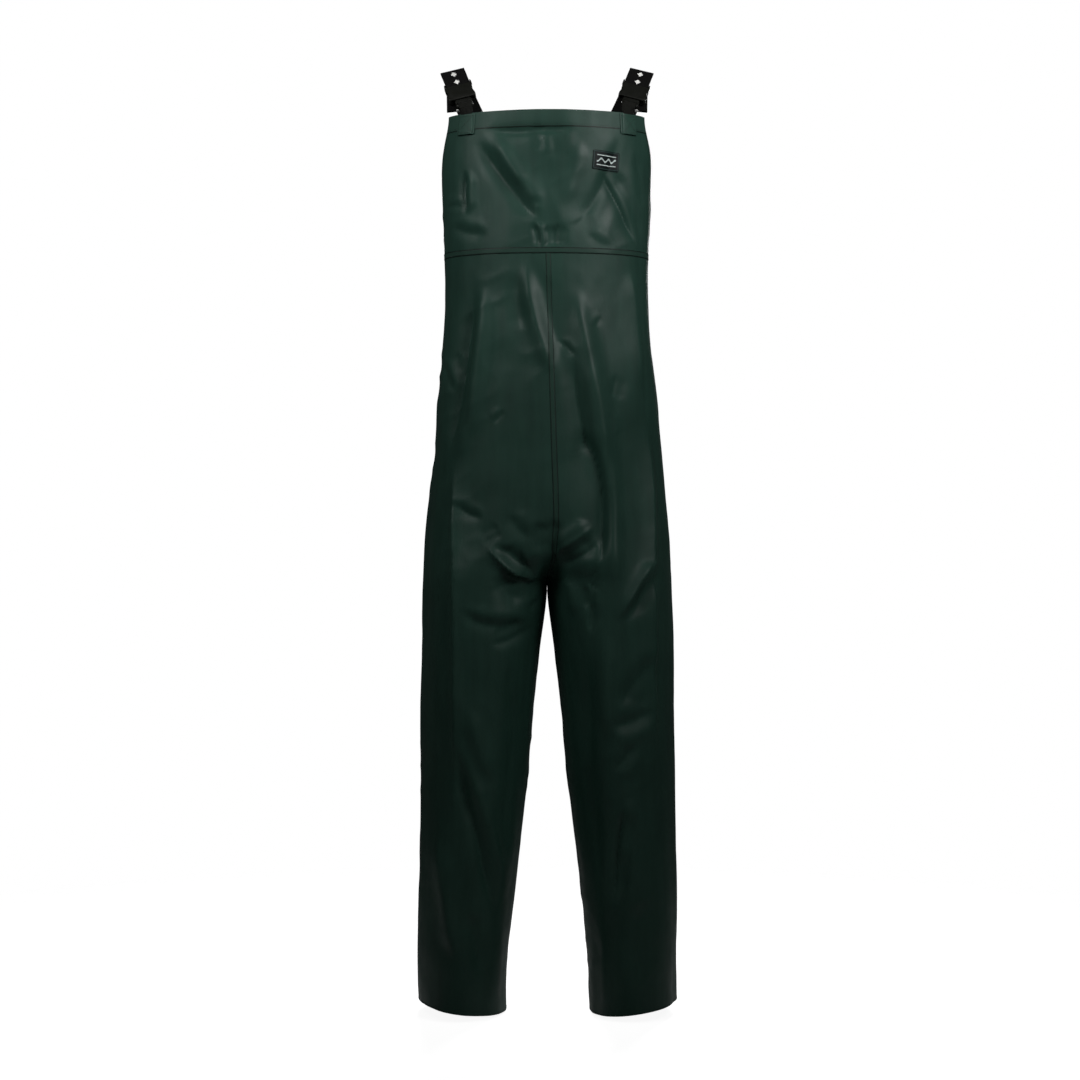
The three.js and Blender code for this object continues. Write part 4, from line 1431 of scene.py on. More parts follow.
    def seams(self) -> None:
        """Lapped strips outside, stitched where the joins are sewn, and welded tapes inside."""
        half, lap = self.lap_width / 2, self.lap_lift
        f, s = self.finishes, self.shape
        chart, across, up = self.round_waist(half, 5)
        waist = self.strip("waist_lap", chart, across, up, lap, self.lap_thickness, f.lap, True)
        self.turned_uv(waist)
        self.keep(waist, "coated_cloth")
        inset = half - self.stitch_inset
        lines = []
        for h in (s.waist_seam - inset, s.waist_seam + inset):
            skin = self.surface.skin(chart, np.append(across, -270), np.array([h, h + 1 * MM]))
            lines.append(skin.lifted(lap).points[0])
        cross = np.linspace(-half, half, 7)
        top = s.waist_seam - half - self.lap_gap
        tape_top = s.waist_seam - self.tape_width / 2 - self.tape_gap
        for back, word in ((False, "front"), (True, "back")):
            chart = self.rise_chart(back)
            heights = self.rows(s.crotch + 2 * MM, top)
            piece = self.strip(f"{word}_rise_lap", chart, cross, heights, lap, self.lap_thickness, f.lap)
            self.keep(piece, "coated_cloth")
            heights = self.rows(s.crotch + 14 * MM, top)
            for x in (-inset, inset):
                skin = self.surface.skin(chart, np.array([x, x + 0.5 * MM]), heights).lifted(lap)
                lines.append(skin.points[:, 0])
            heights = self.rows(s.crotch + self.tape_start, tape_top)
            self.tape(f"{word}_rise_tape_inside", chart, heights, f"{word}_rise_tape")
        for side in Side:
            bands = {"side_seam": (0.5, top), "inseam": (0.0, s.crotch - 12 * MM)}
            for word, (turn, high) in bands.items():
                chart, name = self.seam_chart(side, turn), f"{side.word}_{word}"
                up, narrow = self.rows(1 * MM, high), cross * self.narrow_share
                lift, thick = self.narrow_lift, self.narrow_thickness
                self.keep(self.strip(f"{name}_lap", chart, narrow, up, lift, thick, f.lap), "coated_cloth")
                heights = self.rows(self.leg_hem + self.tape_gap, min(high, tape_top))
                self.tape(f"{name}_tape_inside", chart, heights, f"{name}_tape")
        chart, across, up = self.round_waist(self.tape_width / 2, 5)
        inside = -self.surface.thickness - self.tape_depth
        waist = self.strip("waist_tape_inside", chart, across, up, inside, self.tape_thickness, f.tape, True)
        self.keep(waist, "seam_tape", "waist_seam_tape")
        self.keep(self.stitches.sew("seam_stitches", lines), "coated_cloth")

    def tape(self, name: str, chart: Chart, heights: Array, node: str) -> None:
        """A welded tape over the inside of a seam.

        Args:
            name: the piece's name.
            chart: the seam's chart.
            heights: its rows.
            node: the CAD node it replaces.
        """
        across = np.linspace(-self.tape_width / 2, self.tape_width / 2, 7)
        inside = -self.surface.thickness - self.tape_depth
        piece = self.strip(name, chart, across, heights, inside, self.tape_thickness, self.finishes.tape)
        self.keep(piece, "seam_tape", node)

    def keep(self, piece: Piece, slot: str, *nodes: str) -> None:
        """Wears a piece on the garment itself and remembers it."""
        self.pieces[piece.name] = wear(piece, slot, *nodes)

    def turned_hem(
        self, chart: Chart, across: Array, edge: float, outside: float, inside: float, down: int = 1
    ) -> Skin:
        """A hem that comes up the outside, rolls over the cloth's edge and goes down the inside.

        Args:
            chart: places (across, distance along) on the form.
            across: the columns.
            edge: the chart's value at the cloth's edge.
            outside: how far it shows on the outside.
            inside: how far it goes down the inside.
            down: 1 where the cloth lies below its edge, and -1 where it lies above.

        Returns:
            The hem's outer face as a grid.
        """
        roll = self.surface.thickness / 2 + self.hem_roll
        middle = -self.surface.thickness / 2
        rows = []
        for t in np.linspace(1, 0, max(3, round(outside / (3 * MM)))):
            rows.append((edge - down * outside * t, middle + roll, 0.0))
        for angle in np.radians((30, 60, 90, 120, 150)):
            rows.append((edge, middle + roll * math.cos(angle), roll * math.sin(angle)))
        for t in np.linspace(0, 1, max(3, round(inside / (3 * MM)))):
            rows.append((edge - down * inside * t, middle - roll, 0.0))
        heights = np.array([r[0] for r in rows])
        order = np.unique(heights)
        if len(order) < 2:
            order = np.array([order[0], order[0] + 1 * MM])
        skin = self.surface.skin(chart, across, order)
        pick = np.searchsorted(order, heights)
        points, normals = skin.points[pick], skin.normals[pick]
        rise = unit(np.cross(normals, np.gradient(points, axis=1)))
        lift = np.array([r[1] for r in rows])[:, None, None]
        over = np.array([r[2] for r in rows])[:, None, None]
        grid = points + normals * lift + down * rise * over
        face = grid_normals(grid)
        if down < 0:
            grid, face = grid[::-1], -face[::-1]
        run = np.pad(np.cumsum(np.linalg.norm(np.diff(grid, axis=0), axis=-1), axis=0), ((1, 0), (0, 0)))
        return Skin(grid, face, np.stack([skin.uv[pick][..., 0], run], -1))

    def hems(self) -> None:
        """The bib's folded top hem, the back hem, the armhole facings and the leg hems."""
        s, f = self.shape, self.finishes
        across = np.linspace(-1, 1, self.bib_columns)
        hem = self.turned_hem(s.bib, across, s.bib_top, self.bib_hem, self.bib_hem)
        piece = hem.solid("bib_top_hem", self.hem_cloth, f.band, f.facing)
        self.keep(piece, "coated_cloth", "bib_top_hem_facing")
        lines = [hem.points[1][2:-2]]

        def back(u: Array, drop: Array) -> Array:
            """Points of the back bib, drop above its top edge."""
            return s.torso(-90 - u * 90, s.back_edge(u) + drop)

        inner = np.linspace(-0.97, 0.97, self.bib_columns)
        hem = self.turned_hem(back, inner, 0.0, 3 * MM, self.back_hem)
        piece = hem.solid("back_top_hem", self.hem_cloth, f.cloth, f.facing)
        self.keep(piece, "facing_cloth", "back_top_hem_facing")
        line = self.surface.skin(back, inner, np.array([-self.back_hem + 2 * MM, -self.back_hem + 4 * MM]))
        lines.append(line.lifted(self.thread_lift).points[0])
        for side in Side:
            self.armhole(side)
            self.leg_hem_ring(side)
        self.keep(self.stitches.sew("hem_stitches", lines), "coated_cloth")

    def armhole(self, side: Side) -> None:
        """The bound side edge of the bib, from the side line up to the top hem.

        Args:
            side: which edge.
        """
        s = self.shape
        reach = s.degrees_for(1.0, s.chest_edge_angle, s.bib_top - s.chest_below_top)

        def chart(along: Array, inwards: Array) -> Array:
            """Points beside the edge, by height along it and metres inwards."""
            return s.torso(s.edge_angle(along) - inwards * reach, along) * np.array([side.value, 1, 1])

        heights = self.rows(s.side_top + 1 * MM, s.bib_top - self.bib_hem)
        across = heights[:: -side.value]
        hem = self.turned_hem(chart, across, 0.0, 5 * MM, self.armhole_facing)
        f = self.finishes
        piece = hem.solid(f"{side.word}_armhole_edge", self.binding, f.cloth, f.facing)
        self.keep(piece, "facing_cloth", f"{side.word}_armhole_facing")

    def leg_hem_ring(self, side: Side) -> None:
        """The turned-up hem of one leg, a closed ring.

        Args:
            side: which leg.
        """
        turns = np.linspace(0, 1, 2 * self.leg_columns)[:-1][:: side.value]
        hem = self.turned_hem(self.shape.leg(side), turns, 0.0, 1.5 * MM, self.leg_hem, -1)
        f = self.finishes
        piece = hem.solid(f"{side.word}_leg_hem", self.binding, f.cloth, f.facing, True)
        self.keep(piece, "facing_cloth", f"{side.word}_leg_hem_facing")

    def declare(self) -> None:
        """Logs what each panel was cut to."""
        for name, (wide, tall, area) in self.flats.items():
            word = name.removesuffix("_cloth")
            own = [p for n, p in self.pieces.items() if n in self.sewn_to(word)]
            log.info("%s flat %.3f x %.3f m, %.4f square metres", name, wide, tall, area)

    @staticmethod
    def sewn_to(panel: str) -> tuple[str, ...]:
        """The strips listed with a panel.

        Args:
            panel: the panel's name without its ending.

        Returns:
            Their names.
        """
        bib_edges = ("bib_top_hem", "left_armhole_edge", "right_armhole_edge")
        strips = {
            "front_bib": (*bib_edges, "waist_lap", "waist_tape_inside"),
            "back_bib": ("back_top_hem",),
            "left_front_leg": ("front_rise_lap", "front_rise_tape_inside", "left_leg_hem", "seam_stitches"),
            "right_front_leg": ("right_leg_hem", "hem_stitches"),
            "left_back_leg": ("back_rise_lap", "back_rise_tape_inside"),
            "right_back_leg": (),
        }[panel]
        if panel.endswith("back_leg"):
            word = panel.split("_")[0]
            seams = (f"{word}_side_seam", f"{word}_inseam")
            strips += tuple(seam + part for seam in seams for part in ("_lap", "_tape_inside"))
        return strips

    def build(self) -> None:
        """Makes every cloth piece."""
        self.legs()
        self.bibs()
        self.seams()
        self.hems()


# ---- Braces and buckles ----


@dataclass
class BuckleFrame:
    """Where the left buckle is.

    right runs outwards across the brace, up climbs it and out faces the front.
    """

    mouth: Array
    right: Array
    up: Array
    out: Array

    @classmethod
    def from_joints(cls, joints: Sequence[dict]) -> "BuckleFrame":
        """Works the frame out from the left buckle's joints.

        Args:
            joints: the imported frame's joints.

        Returns:
            The buckle's place and directions.
        """
        by_name = {j["name"]: j for j in joints}
        outer = np.array(by_name["left_outer_prong_squeeze"]["pos_m"])
        inner = np.array(by_name["left_inner_prong_squeeze"]["pos_m"])
        up = unit(np.array(by_name["left_buckle_release"]["axis"], float))
        right = unit(outer - inner)
        return cls((outer + inner) / 2 + up * 0.5 * MM, right, up, np.cross(right, up))

    def at(self, right: float, up: float, out: float) -> Array:
        """A point from millimetres along the buckle's own directions."""
        return self.mouth + (self.right * right + self.up * up + self.out * out) * MM


@dataclass
class Station:
    """One cross-section of a band: its middle, the direction across it and its outer face's normal."""

    centre: Array
    across: Array
    normal: Array


@dataclass
class Band:
    """A flat strip of webbing through stations, closed at both ends."""

    width: float
    thickness: float
    across_count: int = 11
    spacing: float = 1.6 * MM

    def mesh(
        self,
        name: str,
        stations: Sequence[Station],
        side: Side,
        material: Material,
        doubled: float = 0.0,
    ) -> Piece:
        """Makes the strip.

        Args:
            name: the piece's name.
            stations: its cross-sections from end to end, on the left side.
            side: the side to make it on.
            material: its material.
            doubled: the length at the far end that is folded double.

        Returns:
            The piece.
        """
        rough = np.array([s.centre for s in stations])
        length = float(np.linalg.norm(np.diff(rough, axis=0), axis=1).sum())
        count = max(8, round(length / self.spacing))
        centre = rounded_path(rough, count)
        across = unit(rounded_path(np.array([s.across for s in stations]), count))
        normal = rounded_path(np.array([s.normal for s in stations]), count)
        tangent = unit(np.gradient(centre, axis=0))
        across = unit(across - tangent * (across * tangent).sum(1, keepdims=True))
        face = np.cross(across, tangent)
        face *= np.sign((face * normal).sum(1, keepdims=True))
        run = np.pad(np.cumsum(np.linalg.norm(np.diff(centre, axis=0), axis=1)), (1, 0))
        end = smooth((run - (run[-1] - doubled)) / (1.5 * MM)) if doubled else np.zeros(count)
        thick = self.thickness * (1 + 0.9 * end)
        half, edge = self.width / 2, self.thickness * 0.32
        u = np.linspace(-half + edge, half - edge, self.across_count)
        top = [(x, 0.5) for x in u] + [(half, 0.18), (half, -0.18)]
        ring = np.array(top + [(x, -0.5) for x in u[::-1]] + [(-half, -0.18), (-half, 0.18)])
        points = (
            centre[:, None]
            + across[:, None] * ring[None, :, :1]
            + face[:, None] * ring[None, :, 1:] * thick[:, None, None]
        )
        n = len(ring)
        index = np.arange(count * n).reshape(count, n)
        wrapped = np.concatenate([index, index[:, :1]], 1)
        a, b, c, d = wrapped[:-1, :-1], wrapped[:-1, 1:], wrapped[1:, 1:], wrapped[1:, :-1]
        quads = [np.stack([i.ravel() for i in (a, b, c, d)], 1)]
        for row, flip in ((index[0], False), (index[-1], True)):
            cap = self.cap(row, self.across_count)
            quads.append(cap[:, ::-1] if flip else cap)
        flat = np.stack([np.tile(ring[:, 0], (count, 1)), np.tile(run[:, None], (1, n))], -1).reshape(-1, 2)
        piece = oriented(name, points.reshape(-1, 3), np.concatenate(quads), side, (material,), flat)
        piece.data.set_sharp_from_angle(angle=math.radians(50))
        return piece

    @staticmethod
    def cap(row: Array, across: int) -> Array:
        """Four-sided faces that close one end of the strip.

        Args:
            row: the vertices round that end.
            across: how many of them lie on each wide face.

        Returns:
            Four vertex numbers a face.
        """
        top, right = list(row[:across]), list(row[across : across + 2])
        bottom, left = list(row[across + 2 : 2 * across + 2])[::-1], list(row[2 * across + 2 :])[::-1]
        upper, lower = [left[1], *top, right[0]], [left[0], *bottom, right[1]]
        return np.array([(upper[i], lower[i], lower[i + 1], upper[i + 1]) for i in range(len(upper) - 1)])


def oriented(
    name: str,
    points: Array,
    quads: Array,
    side: Side,
    materials: Sequence[Material],
    uv: Array | None = None,
) -> Piece:
    """Makes a closed left-hand mesh on either side, with its faces pointing outwards.

    Args:
        name: the piece's name.
        points: vertices on the left side.
        quads: closed four-sided faces, all turned the same way.
        side: the side to make it on.
        materials: its materials.
        uv: a UV for each vertex.

    Returns:
        The piece.
    """
    placed = points * np.array([side.value, 1, 1])
    a, b, c, d = (placed[quads[:, i]] for i in range(4))
    volume = (a * np.cross(b, c)).sum() + (a * np.cross(c, d)).sum()
    if volume < 0:
        quads = quads[:, ::-1]
    return mesh_object(name, placed, quads, materials, uv=uv)


@dataclass
class Braces:
    """The two elastic braces with their loose tails, bib webbing and sewn patches."""

    surface: ClothSurface
    finishes: Finishes
    stitches: StitchRows
    buckle: BuckleFrame
    width: float = 38 * MM
    thickness: float = 1.8 * MM
    top_x: float = 0.148
    level: float = 28 * MM
    lean: float = 0.24
    passing: tuple[float, float, float] = (0.122, 0.076, -0.053)
    anchor_x: float = 0.046
    tab_width: float = 20 * MM
    tab_thickness: float = 1.6 * MM
    patch_angle: float = 38.0
    patch_size: tuple[float, float] = (32 * MM, 31 * MM)
    anchor_size: tuple[float, float] = (62 * MM, 34 * MM)
    hem_lift: float = 0.75 * MM
    patch_thickness: float = 0.9 * MM
    patch_inset: float = 1 * MM
    anchor_shift: float = 3 * MM
    anchor_slack: float = 1.1 * MM
    end_fold: float = 9 * MM

    def touch(self, side: Side, angle: float, height: float, lift: float) -> tuple[Array, Array]:
        """A point just off one side's folded cloth, mirrored to the left.

        Args:
            side: the side whose folds it follows.
            angle: degrees round the body.
            height: the height above the hems.
            lift: how far off the cloth it stands.

        Returns:
            The point and the normal there.
        """
        mirror = np.array([side.value, 1, 1])
        across = np.array([angle, angle - 0.4])[:: side.value]
        levels = np.array([height, height + 1 * MM])
        skin = self.surface.skin(lambda a, h: self.surface.shape.torso(a, h) * mirror, across, levels)
        column = 0 if side is Side.LEFT else 1
        normal = skin.normals[0, column] * mirror
        return skin.points[0, column] * mirror + normal * lift, normal

    def on_back(self, side: Side, height: float, lift: float) -> Station:
        """A station of the brace where it lies on the back bib, slanting in to the centre.

        Args:
            side: the brace's side.
            height: the height above the hems.
            lift: how far off the cloth its middle is.

        Returns:
            The station.
        """
        s = self.surface.shape
        rise = self.passing[2] - s.hem_z - s.back_top
        slant = math.atan2(self.passing[0] - self.anchor_x, rise)
        x = self.anchor_x - (s.back_top - height) * math.tan(slant)
        angle = -math.degrees(math.acos(x / float(s.outer(np.array(height)))))
        centre, normal = self.touch(side, angle, height, lift)
        level = -unit(np.cross(np.array([0.0, 0.0, 1.0]), normal))
        across = level * math.cos(slant) + np.array([0, 0, -1.0]) * math.sin(slant)
        return Station(centre, unit(across), normal)

    def brace_stations(self, side: Side) -> list[Station]:
        """Stations from the slot in the socket over the shoulder to the back bib.

        Args:
            side: the brace's side.

        Returns:
            The stations, on the left.
        """
        b, s = self.buckle, self.surface.shape
        sideways = unit(np.array([1.0, 0.0, -self.lean]))
        upright = unit(np.cross(sideways, np.array([0.0, 1.0, 0.0])))
        shoulder = np.array([self.top_x, 0.0, 0.0])
        stations = [
            Station(b.at(0, 31.2, -3.2), b.right, -b.up),
            Station(b.at(0, 31.2, -1.0), b.right, -b.up),
            Station(b.at(0, 31.3, 1.2), b.right, -b.up),
            Station(b.at(0, 32.0, 2.8), b.right, b.out - b.up),
            Station(b.at(0, 33.6, 3.3), b.right, b.out),
            Station(b.at(0, 37.0, 3.2), b.right, b.out),
            Station(b.at(0, 42.0, 2.6), b.right, b.out),
            Station(b.at(0, 48.0, 1.4), b.right, b.out),
        ]
        rear = shoulder + np.array([0, self.level / 2, 0])
        stations.append(Station(b.at(0, 57.0, 0.7), b.right, b.out))
        bend = shoulder + np.array([-0.4, -0.5, -2.4]) * MM
        stations.append(Station(bend, b.right + sideways, b.out + upright))
        stations.append(Station(shoulder + np.array([0, 5.5, -0.1]) * MM, sideways, upright))
        stations.append(Station(rear, sideways, upright))
        top = self.on_back(side, s.back_top, self.hem_lift + self.thickness / 2)
        passing = np.array(self.passing)
        line = rounded_path(np.array([rear, passing, top.centre]), 11)
        tangents = unit(np.gradient(line, axis=0))
        for i in range(1, 10):
            t = float(smooth(np.array(i / 10)))
            across = sideways * (1 - t) + top.across * t
            stations.append(Station(line[i], across, np.cross(across, tangents[i])))
        stations.append(top)
        low = s.back_top - self.anchor_size[1]
        for share in (0.25, 0.5, 0.8):
            height = s.back_top + (low + 6 * MM - s.back_top) * share
            stations.append(self.on_back(side, height, self.hem_lift + self.thickness / 2))
        return stations

    def tab_stations(self, side: Side) -> list[Station]:
        """Stations of the bib's webbing: up the bib, round the plug's bar and down behind itself.

        Args:
            side: the webbing's side.

        Returns:
            The stations, on the left.
        """
        b, s = self.buckle, self.surface.shape
        stations = []
        lift = self.hem_lift + 0.2 * MM + self.tab_thickness / 2
        for drop in (27, 18, 10, 5, 1.5):
            centre, normal = self.touch(side, self.patch_angle, s.bib_top - drop * MM, lift)
            stations.append(Station(centre, unit(np.cross(np.array([0.0, 0.0, 1.0]), normal)), normal))
        for up, out, normal in (
            (-23.5, 3.6, b.out),
            (-19.5, 4.9, b.out),
            (-15.5, 5.2, b.out),
            (-11.6, 5.2, b.out),
            (-9.6, 4.0, b.up),
            (-9.3, 1.5, b.up),
            (-9.3, -1.5, b.up),
            (-9.6, -4.0, b.up),
            (-11.6, -5.2, -b.out),
            (-15.5, -5.2, -b.out),
            (-19.0, -4.2, -b.out),
            (-22.5, -2.0, -b.out),
        ):
            stations.append(Station(b.at(0, up, out), b.right, normal))
        return stations

    def tail_stations(self, axis: Array) -> list[Station]:
        """Stations of the loose end that hangs behind the socket and bends away from it.

        Args:
            axis: the direction in which the loose end slides.

        Returns:
            The stations, on the left.
        """
        b = self.buckle
        slot = b.at(0, 31.2, -7.35)
        across = unit(np.cross(axis, b.out))
        across *= np.sign(across @ b.right)
        bends = ((-10.5, 0.9), (-5, 0.5), (2, 0.0), (10, 0.0))
        bends += ((20, -0.2), (30, -0.8), (36, -1.3), (44.5, -1.7))
        return [Station(slot + axis * along * MM + b.out * out * MM, across, b.out) for along, out in bends]

    def patch(
        self,
        name: str,
        node: str,
        side: Side,
        angle: float,
        height: float,
        size: tuple[float, float],
        under: tuple[float, float],
        lean: float = 0.0,
        shift: float = 0.0,
        slack: float = 0.25 * MM,
    ) -> list[Array]:
        """A cloth patch sewn over the end of a band.

        Args:
            name: the piece's name.
            node: the CAD node it replaces.
            side: the side it is on.
            angle: where its middle is, in degrees round the bib level.
            height: the height of its middle.
            size: its width and height.
            under: the width and thickness of the band beneath it.
            lean: how far the band moves outwards for each metre that it climbs.
            shift: how far the patch sits outside the band's middle.
            slack: the room between the band and the patch over it.

        Returns:
            The lines of its stitches.
        """
        s = self.surface.shape
        per_metre = s.degrees_for(1.0, angle, height)
        wide, tall = size

        def chart(u: Array, v: Array) -> Array:
            """Points of the patch, by metres from its middle."""
            return s.torso(angle - u * per_metre, height + v) * np.array([side.value, 1, 1])

        across = np.linspace(-wide / 2, wide / 2, 41)[:: side.value]
        up = np.linspace(-tall / 2, tall / 2, 33)
        skin = self.surface.skin(chart, across, up)
        band, thick = under
        beside = np.abs(across[None, :] - shift + up[:, None] * lean)
        over = 1 - smooth((beside - band / 2 * math.hypot(1, lean) - 2.0 * MM) / (2.6 * MM))
        edge = smooth((tall / 2 - np.abs(up)) / (1.2 * MM))[:, None] * 0.25 * MM
        lift = self.hem_lift + self.patch_thickness + (thick + slack) * over + edge
        raised = skin.lifted(lift)
        raised = Skin(raised.points, grid_normals(raised.points), raised.uv)
        piece = raised.solid(name, self.patch_thickness, self.finishes.patch, self.finishes.lining)
        wear(piece, "patch_cloth", node)
        proud = raised.lifted(0.12 * MM).points
        near, far = 3, -4  # the stitched box runs along these rows and columns of the grid
        loop = [proud[near, near:far], proud[far, near:far], proud[near:far, near], proud[near:far, far]]
        n = min(proud.shape[:2]) - 8
        picks_r = np.linspace(near, proud.shape[0] + far, n).round().astype(int)
        picks_c = np.linspace(near, proud.shape[1] + far, n).round().astype(int)
        return loop + [proud[picks_r, picks_c], proud[picks_r, picks_c[::-1]]]

    def brace(self, side: Side) -> None:
        """The elastic from the socket to the back bib.

        Args:
            side: which brace.
        """
        w, stations = side.word, self.brace_stations(side)
        brace = Band(self.width, self.thickness).mesh(
            f"{w}_brace_webbing", stations, side, self.finishes.marked_brace
        )
        mirror = np.array([side.value, 1, 1])
        start, end = np.array(self.passing) * mirror, self.buckle.at(0, 34, 0) * mirror
        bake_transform(brace)
        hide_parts(f"{w}_brace")

    def tail(self, side: Side, axis: Array) -> None:
        """The loose end behind the socket, with its tip folded double.

        Args:
            side: which brace.
            axis: the direction in which it slides.
        """
        w, stations, band = side.word, self.tail_stations(axis), Band(self.width, self.thickness)
        finish = self.finishes.marked_brace
        tail = band.mesh(f"{w}_brace_loose_end", stations, side, finish, doubled=self.end_fold)
        wear(tail, "brace_webbing", f"{w}_brace_tail", body=f"{w}_tail")

    def tab(self, side: Side) -> list[Array]:
        """The bib's webbing that holds the plug, and the corner patch over its end.

        Args:
            side: which side of the bib.

        Returns:
            The lines of the patch's stitches.
        """
        w, stations = side.word, self.tab_stations(side)
        tab = Band(self.tab_width, self.tab_thickness, 7, 1.0 * MM)
        piece = tab.mesh(f"{w}_tab_webbing", stations, side, self.finishes.tab)
        wear(piece, "tab_webbing", f"{w}_bib_tab_webbing")
        middle = self.surface.shape.bib_top - self.patch_size[1] / 2 - self.patch_inset
        under, angle, node = (self.tab_width, self.tab_thickness), self.patch_angle, f"{w}_bib_corner_patch"
        return self.patch(f"{w}_corner_patch", node, side, angle, middle, self.patch_size, under)

    def anchor(self, side: Side) -> list[Array]:
        """The patch that holds the brace's end on the back bib.

        Args:
            side: which brace.

        Returns:
            The lines of its stitches.
        """
        w, s = side.word, self.surface.shape
        low = s.back_top - self.anchor_size[1] / 2 - self.patch_inset
        centre = self.on_back(side, low, 0.0).centre
        angle = -math.degrees(math.acos(centre[0] / float(s.outer(np.array(low)))))
        angle += self.anchor_shift * s.degrees_for(1.0, angle, low)
        lean = (self.passing[0] - self.anchor_x) / (self.passing[2] - s.hem_z - s.back_top)
        return self.patch(
            f"{w}_anchor_patch",
            f"{w}_brace_anchor_patch",
            side,
            angle,
            low,
            self.anchor_size,
            (self.width, self.thickness),
            lean,
            self.anchor_shift,
            self.anchor_slack,
        )

    def build(self, joints: Sequence[dict]) -> None:
        """Makes both sides' webbing and patches.

        Args:
            joints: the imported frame's joints.
        """
        by_name = {j["name"]: j for j in joints}
        axis = unit(np.array(by_name["left_brace_adjust"]["axis"], float))
        lines: list[Array] = []
        for side in Side:
            self.brace(side)
            self.tail(side, axis)
            lines += self.tab(side)
            lines += self.anchor(side)
        wear(self.stitches.sew("patch_stitches", lines), "patch_cloth")

    @staticmethod
    def path_length(stations: Sequence[Station]) -> float:
        """The length of a band through stations."""
        points = rounded_path(np.array([s.centre for s in stations]), 8 * len(stations))
        return float(np.linalg.norm(np.diff(points, axis=0), axis=1).sum())


@dataclass
class SideReleaseBuckle:
    """One buckle: a socket on the brace, and a plug with two sprung prongs on the bib's webbing."""

    side: Side
    frame_nodes: dict[str, Piece]
    finish: Material
    edge: float = 0.55 * MM
    flat_angle: float = 1.5
    edge_angle: float = 28.0
    shade_angle: float = 32.0

    def moulded(self, part: str, body: str) -> Piece:
        """Makes a moulding from its CAD node, with rounded edges.

        Args:
            part: the node's name without its side.
            body: the body it moves with.

        Returns:
            The piece.
        """
        node = f"{self.side.word}_{part}"
        mesh = self.frame_nodes[node].data.copy()
        mesh.name = node + "_moulding"
        work = bmesh.new()
        work.from_mesh(mesh)
        bmesh.ops.remove_doubles(work, verts=work.verts, dist=0.01 * MM)
        flat, sharp_from = math.radians(self.flat_angle), math.radians(self.edge_angle)
        bmesh.ops.dissolve_limit(work, angle_limit=flat, verts=work.verts, edges=work.edges)
        sharp = [e for e in work.edges if len(e.link_faces) == 2 and e.calc_face_angle(0) > sharp_from]
        bmesh.ops.bevel(
            work, geom=sharp, offset=self.edge, segments=2, profile=0.6, affect="EDGES", clamp_overlap=True
        )
        bmesh.ops.triangulate(work, faces=[f for f in work.faces if len(f.verts) > 4])
        work.to_mesh(mesh)
        work.free()
        mesh.materials.clear()
        mesh.materials.append(self.finish)
        mesh.shade_smooth()
        mesh.set_sharp_from_angle(angle=math.radians(self.shade_angle))
        made = bpy.data.objects.new(mesh.name, mesh)
        bpy.context.scene.collection.objects.link(made)
        return wear(made, "buckle_plastic", node, body=body)

    def build(self) -> None:
        """Makes the buckle's four mouldings."""
        w = self.side.word
        self.moulded("buckle_socket", f"{w}_socket")
        self.moulded("buckle_plug", "root")
        self.moulded("buckle_outer_prong", f"{w}_outer_prong")
        self.moulded("buckle_inner_prong", f"{w}_inner_prong")


@dataclass
class LabelPatch:
    """The moulded patch on the wearer's left of the bib."""

    surface: ClothSurface
    finishes: Finishes
    width: float = 45 * MM
    height: float = 29 * MM
    thickness: float = 1.0 * MM
    angle: float = 56.0
    below_top: float = 75 * MM
    turn: float = 3.5
    corner: float = 2.2 * MM

    def build(self) -> None:
        """Makes the patch."""
        s = self.surface.shape
        middle = s.bib_top - self.below_top
        per_metre = s.degrees_for(1.0, self.angle, middle)
        tilt = math.radians(self.turn)

        def rounded(u: Array, v: Array) -> tuple[Array, Array]:
            """Pulls the corners of a grid in to a round.

            Args:
                u, v: places from the middle.

            Returns:
                The places moved.
            """
            du = np.maximum(np.abs(u) - (self.width / 2 - self.corner), 0)
            dv = np.maximum(np.abs(v) - (self.height / 2 - self.corner), 0)
            scale = np.maximum(du, dv) / np.maximum(np.hypot(du, dv), 1e-9)
            return (
                np.sign(u) * (np.abs(u) - du + du * scale),
                np.sign(v) * (np.abs(v) - dv + dv * scale),
            )

        def chart(u: Array, v: Array) -> Array:
            """Points of the label on the bib.

            Args:
                u, v: places from its middle.

            Returns:
                The points.
            """
            u, v = rounded(u, v)
            right = u * math.cos(tilt) + v * math.sin(tilt)
            rise = v * math.cos(tilt) - u * math.sin(tilt)
            return s.torso(self.angle - right * per_metre, middle + rise)

        across = np.linspace(-self.width / 2, self.width / 2, 61)
        up = np.linspace(-self.height / 2, self.height / 2, 41)
        skin = self.surface.skin(chart, across, up)
        u, v = rounded(*np.meshgrid(across, up))
        face = Skin(skin.points, skin.normals, np.stack([u, v], -1)).lifted(self.thickness + 0.3 * MM)
        piece = face.solid("label", self.thickness, self.finishes.label, self.finishes.label)
        wear(piece, "label", "label_patch")


# ---- Studio ----


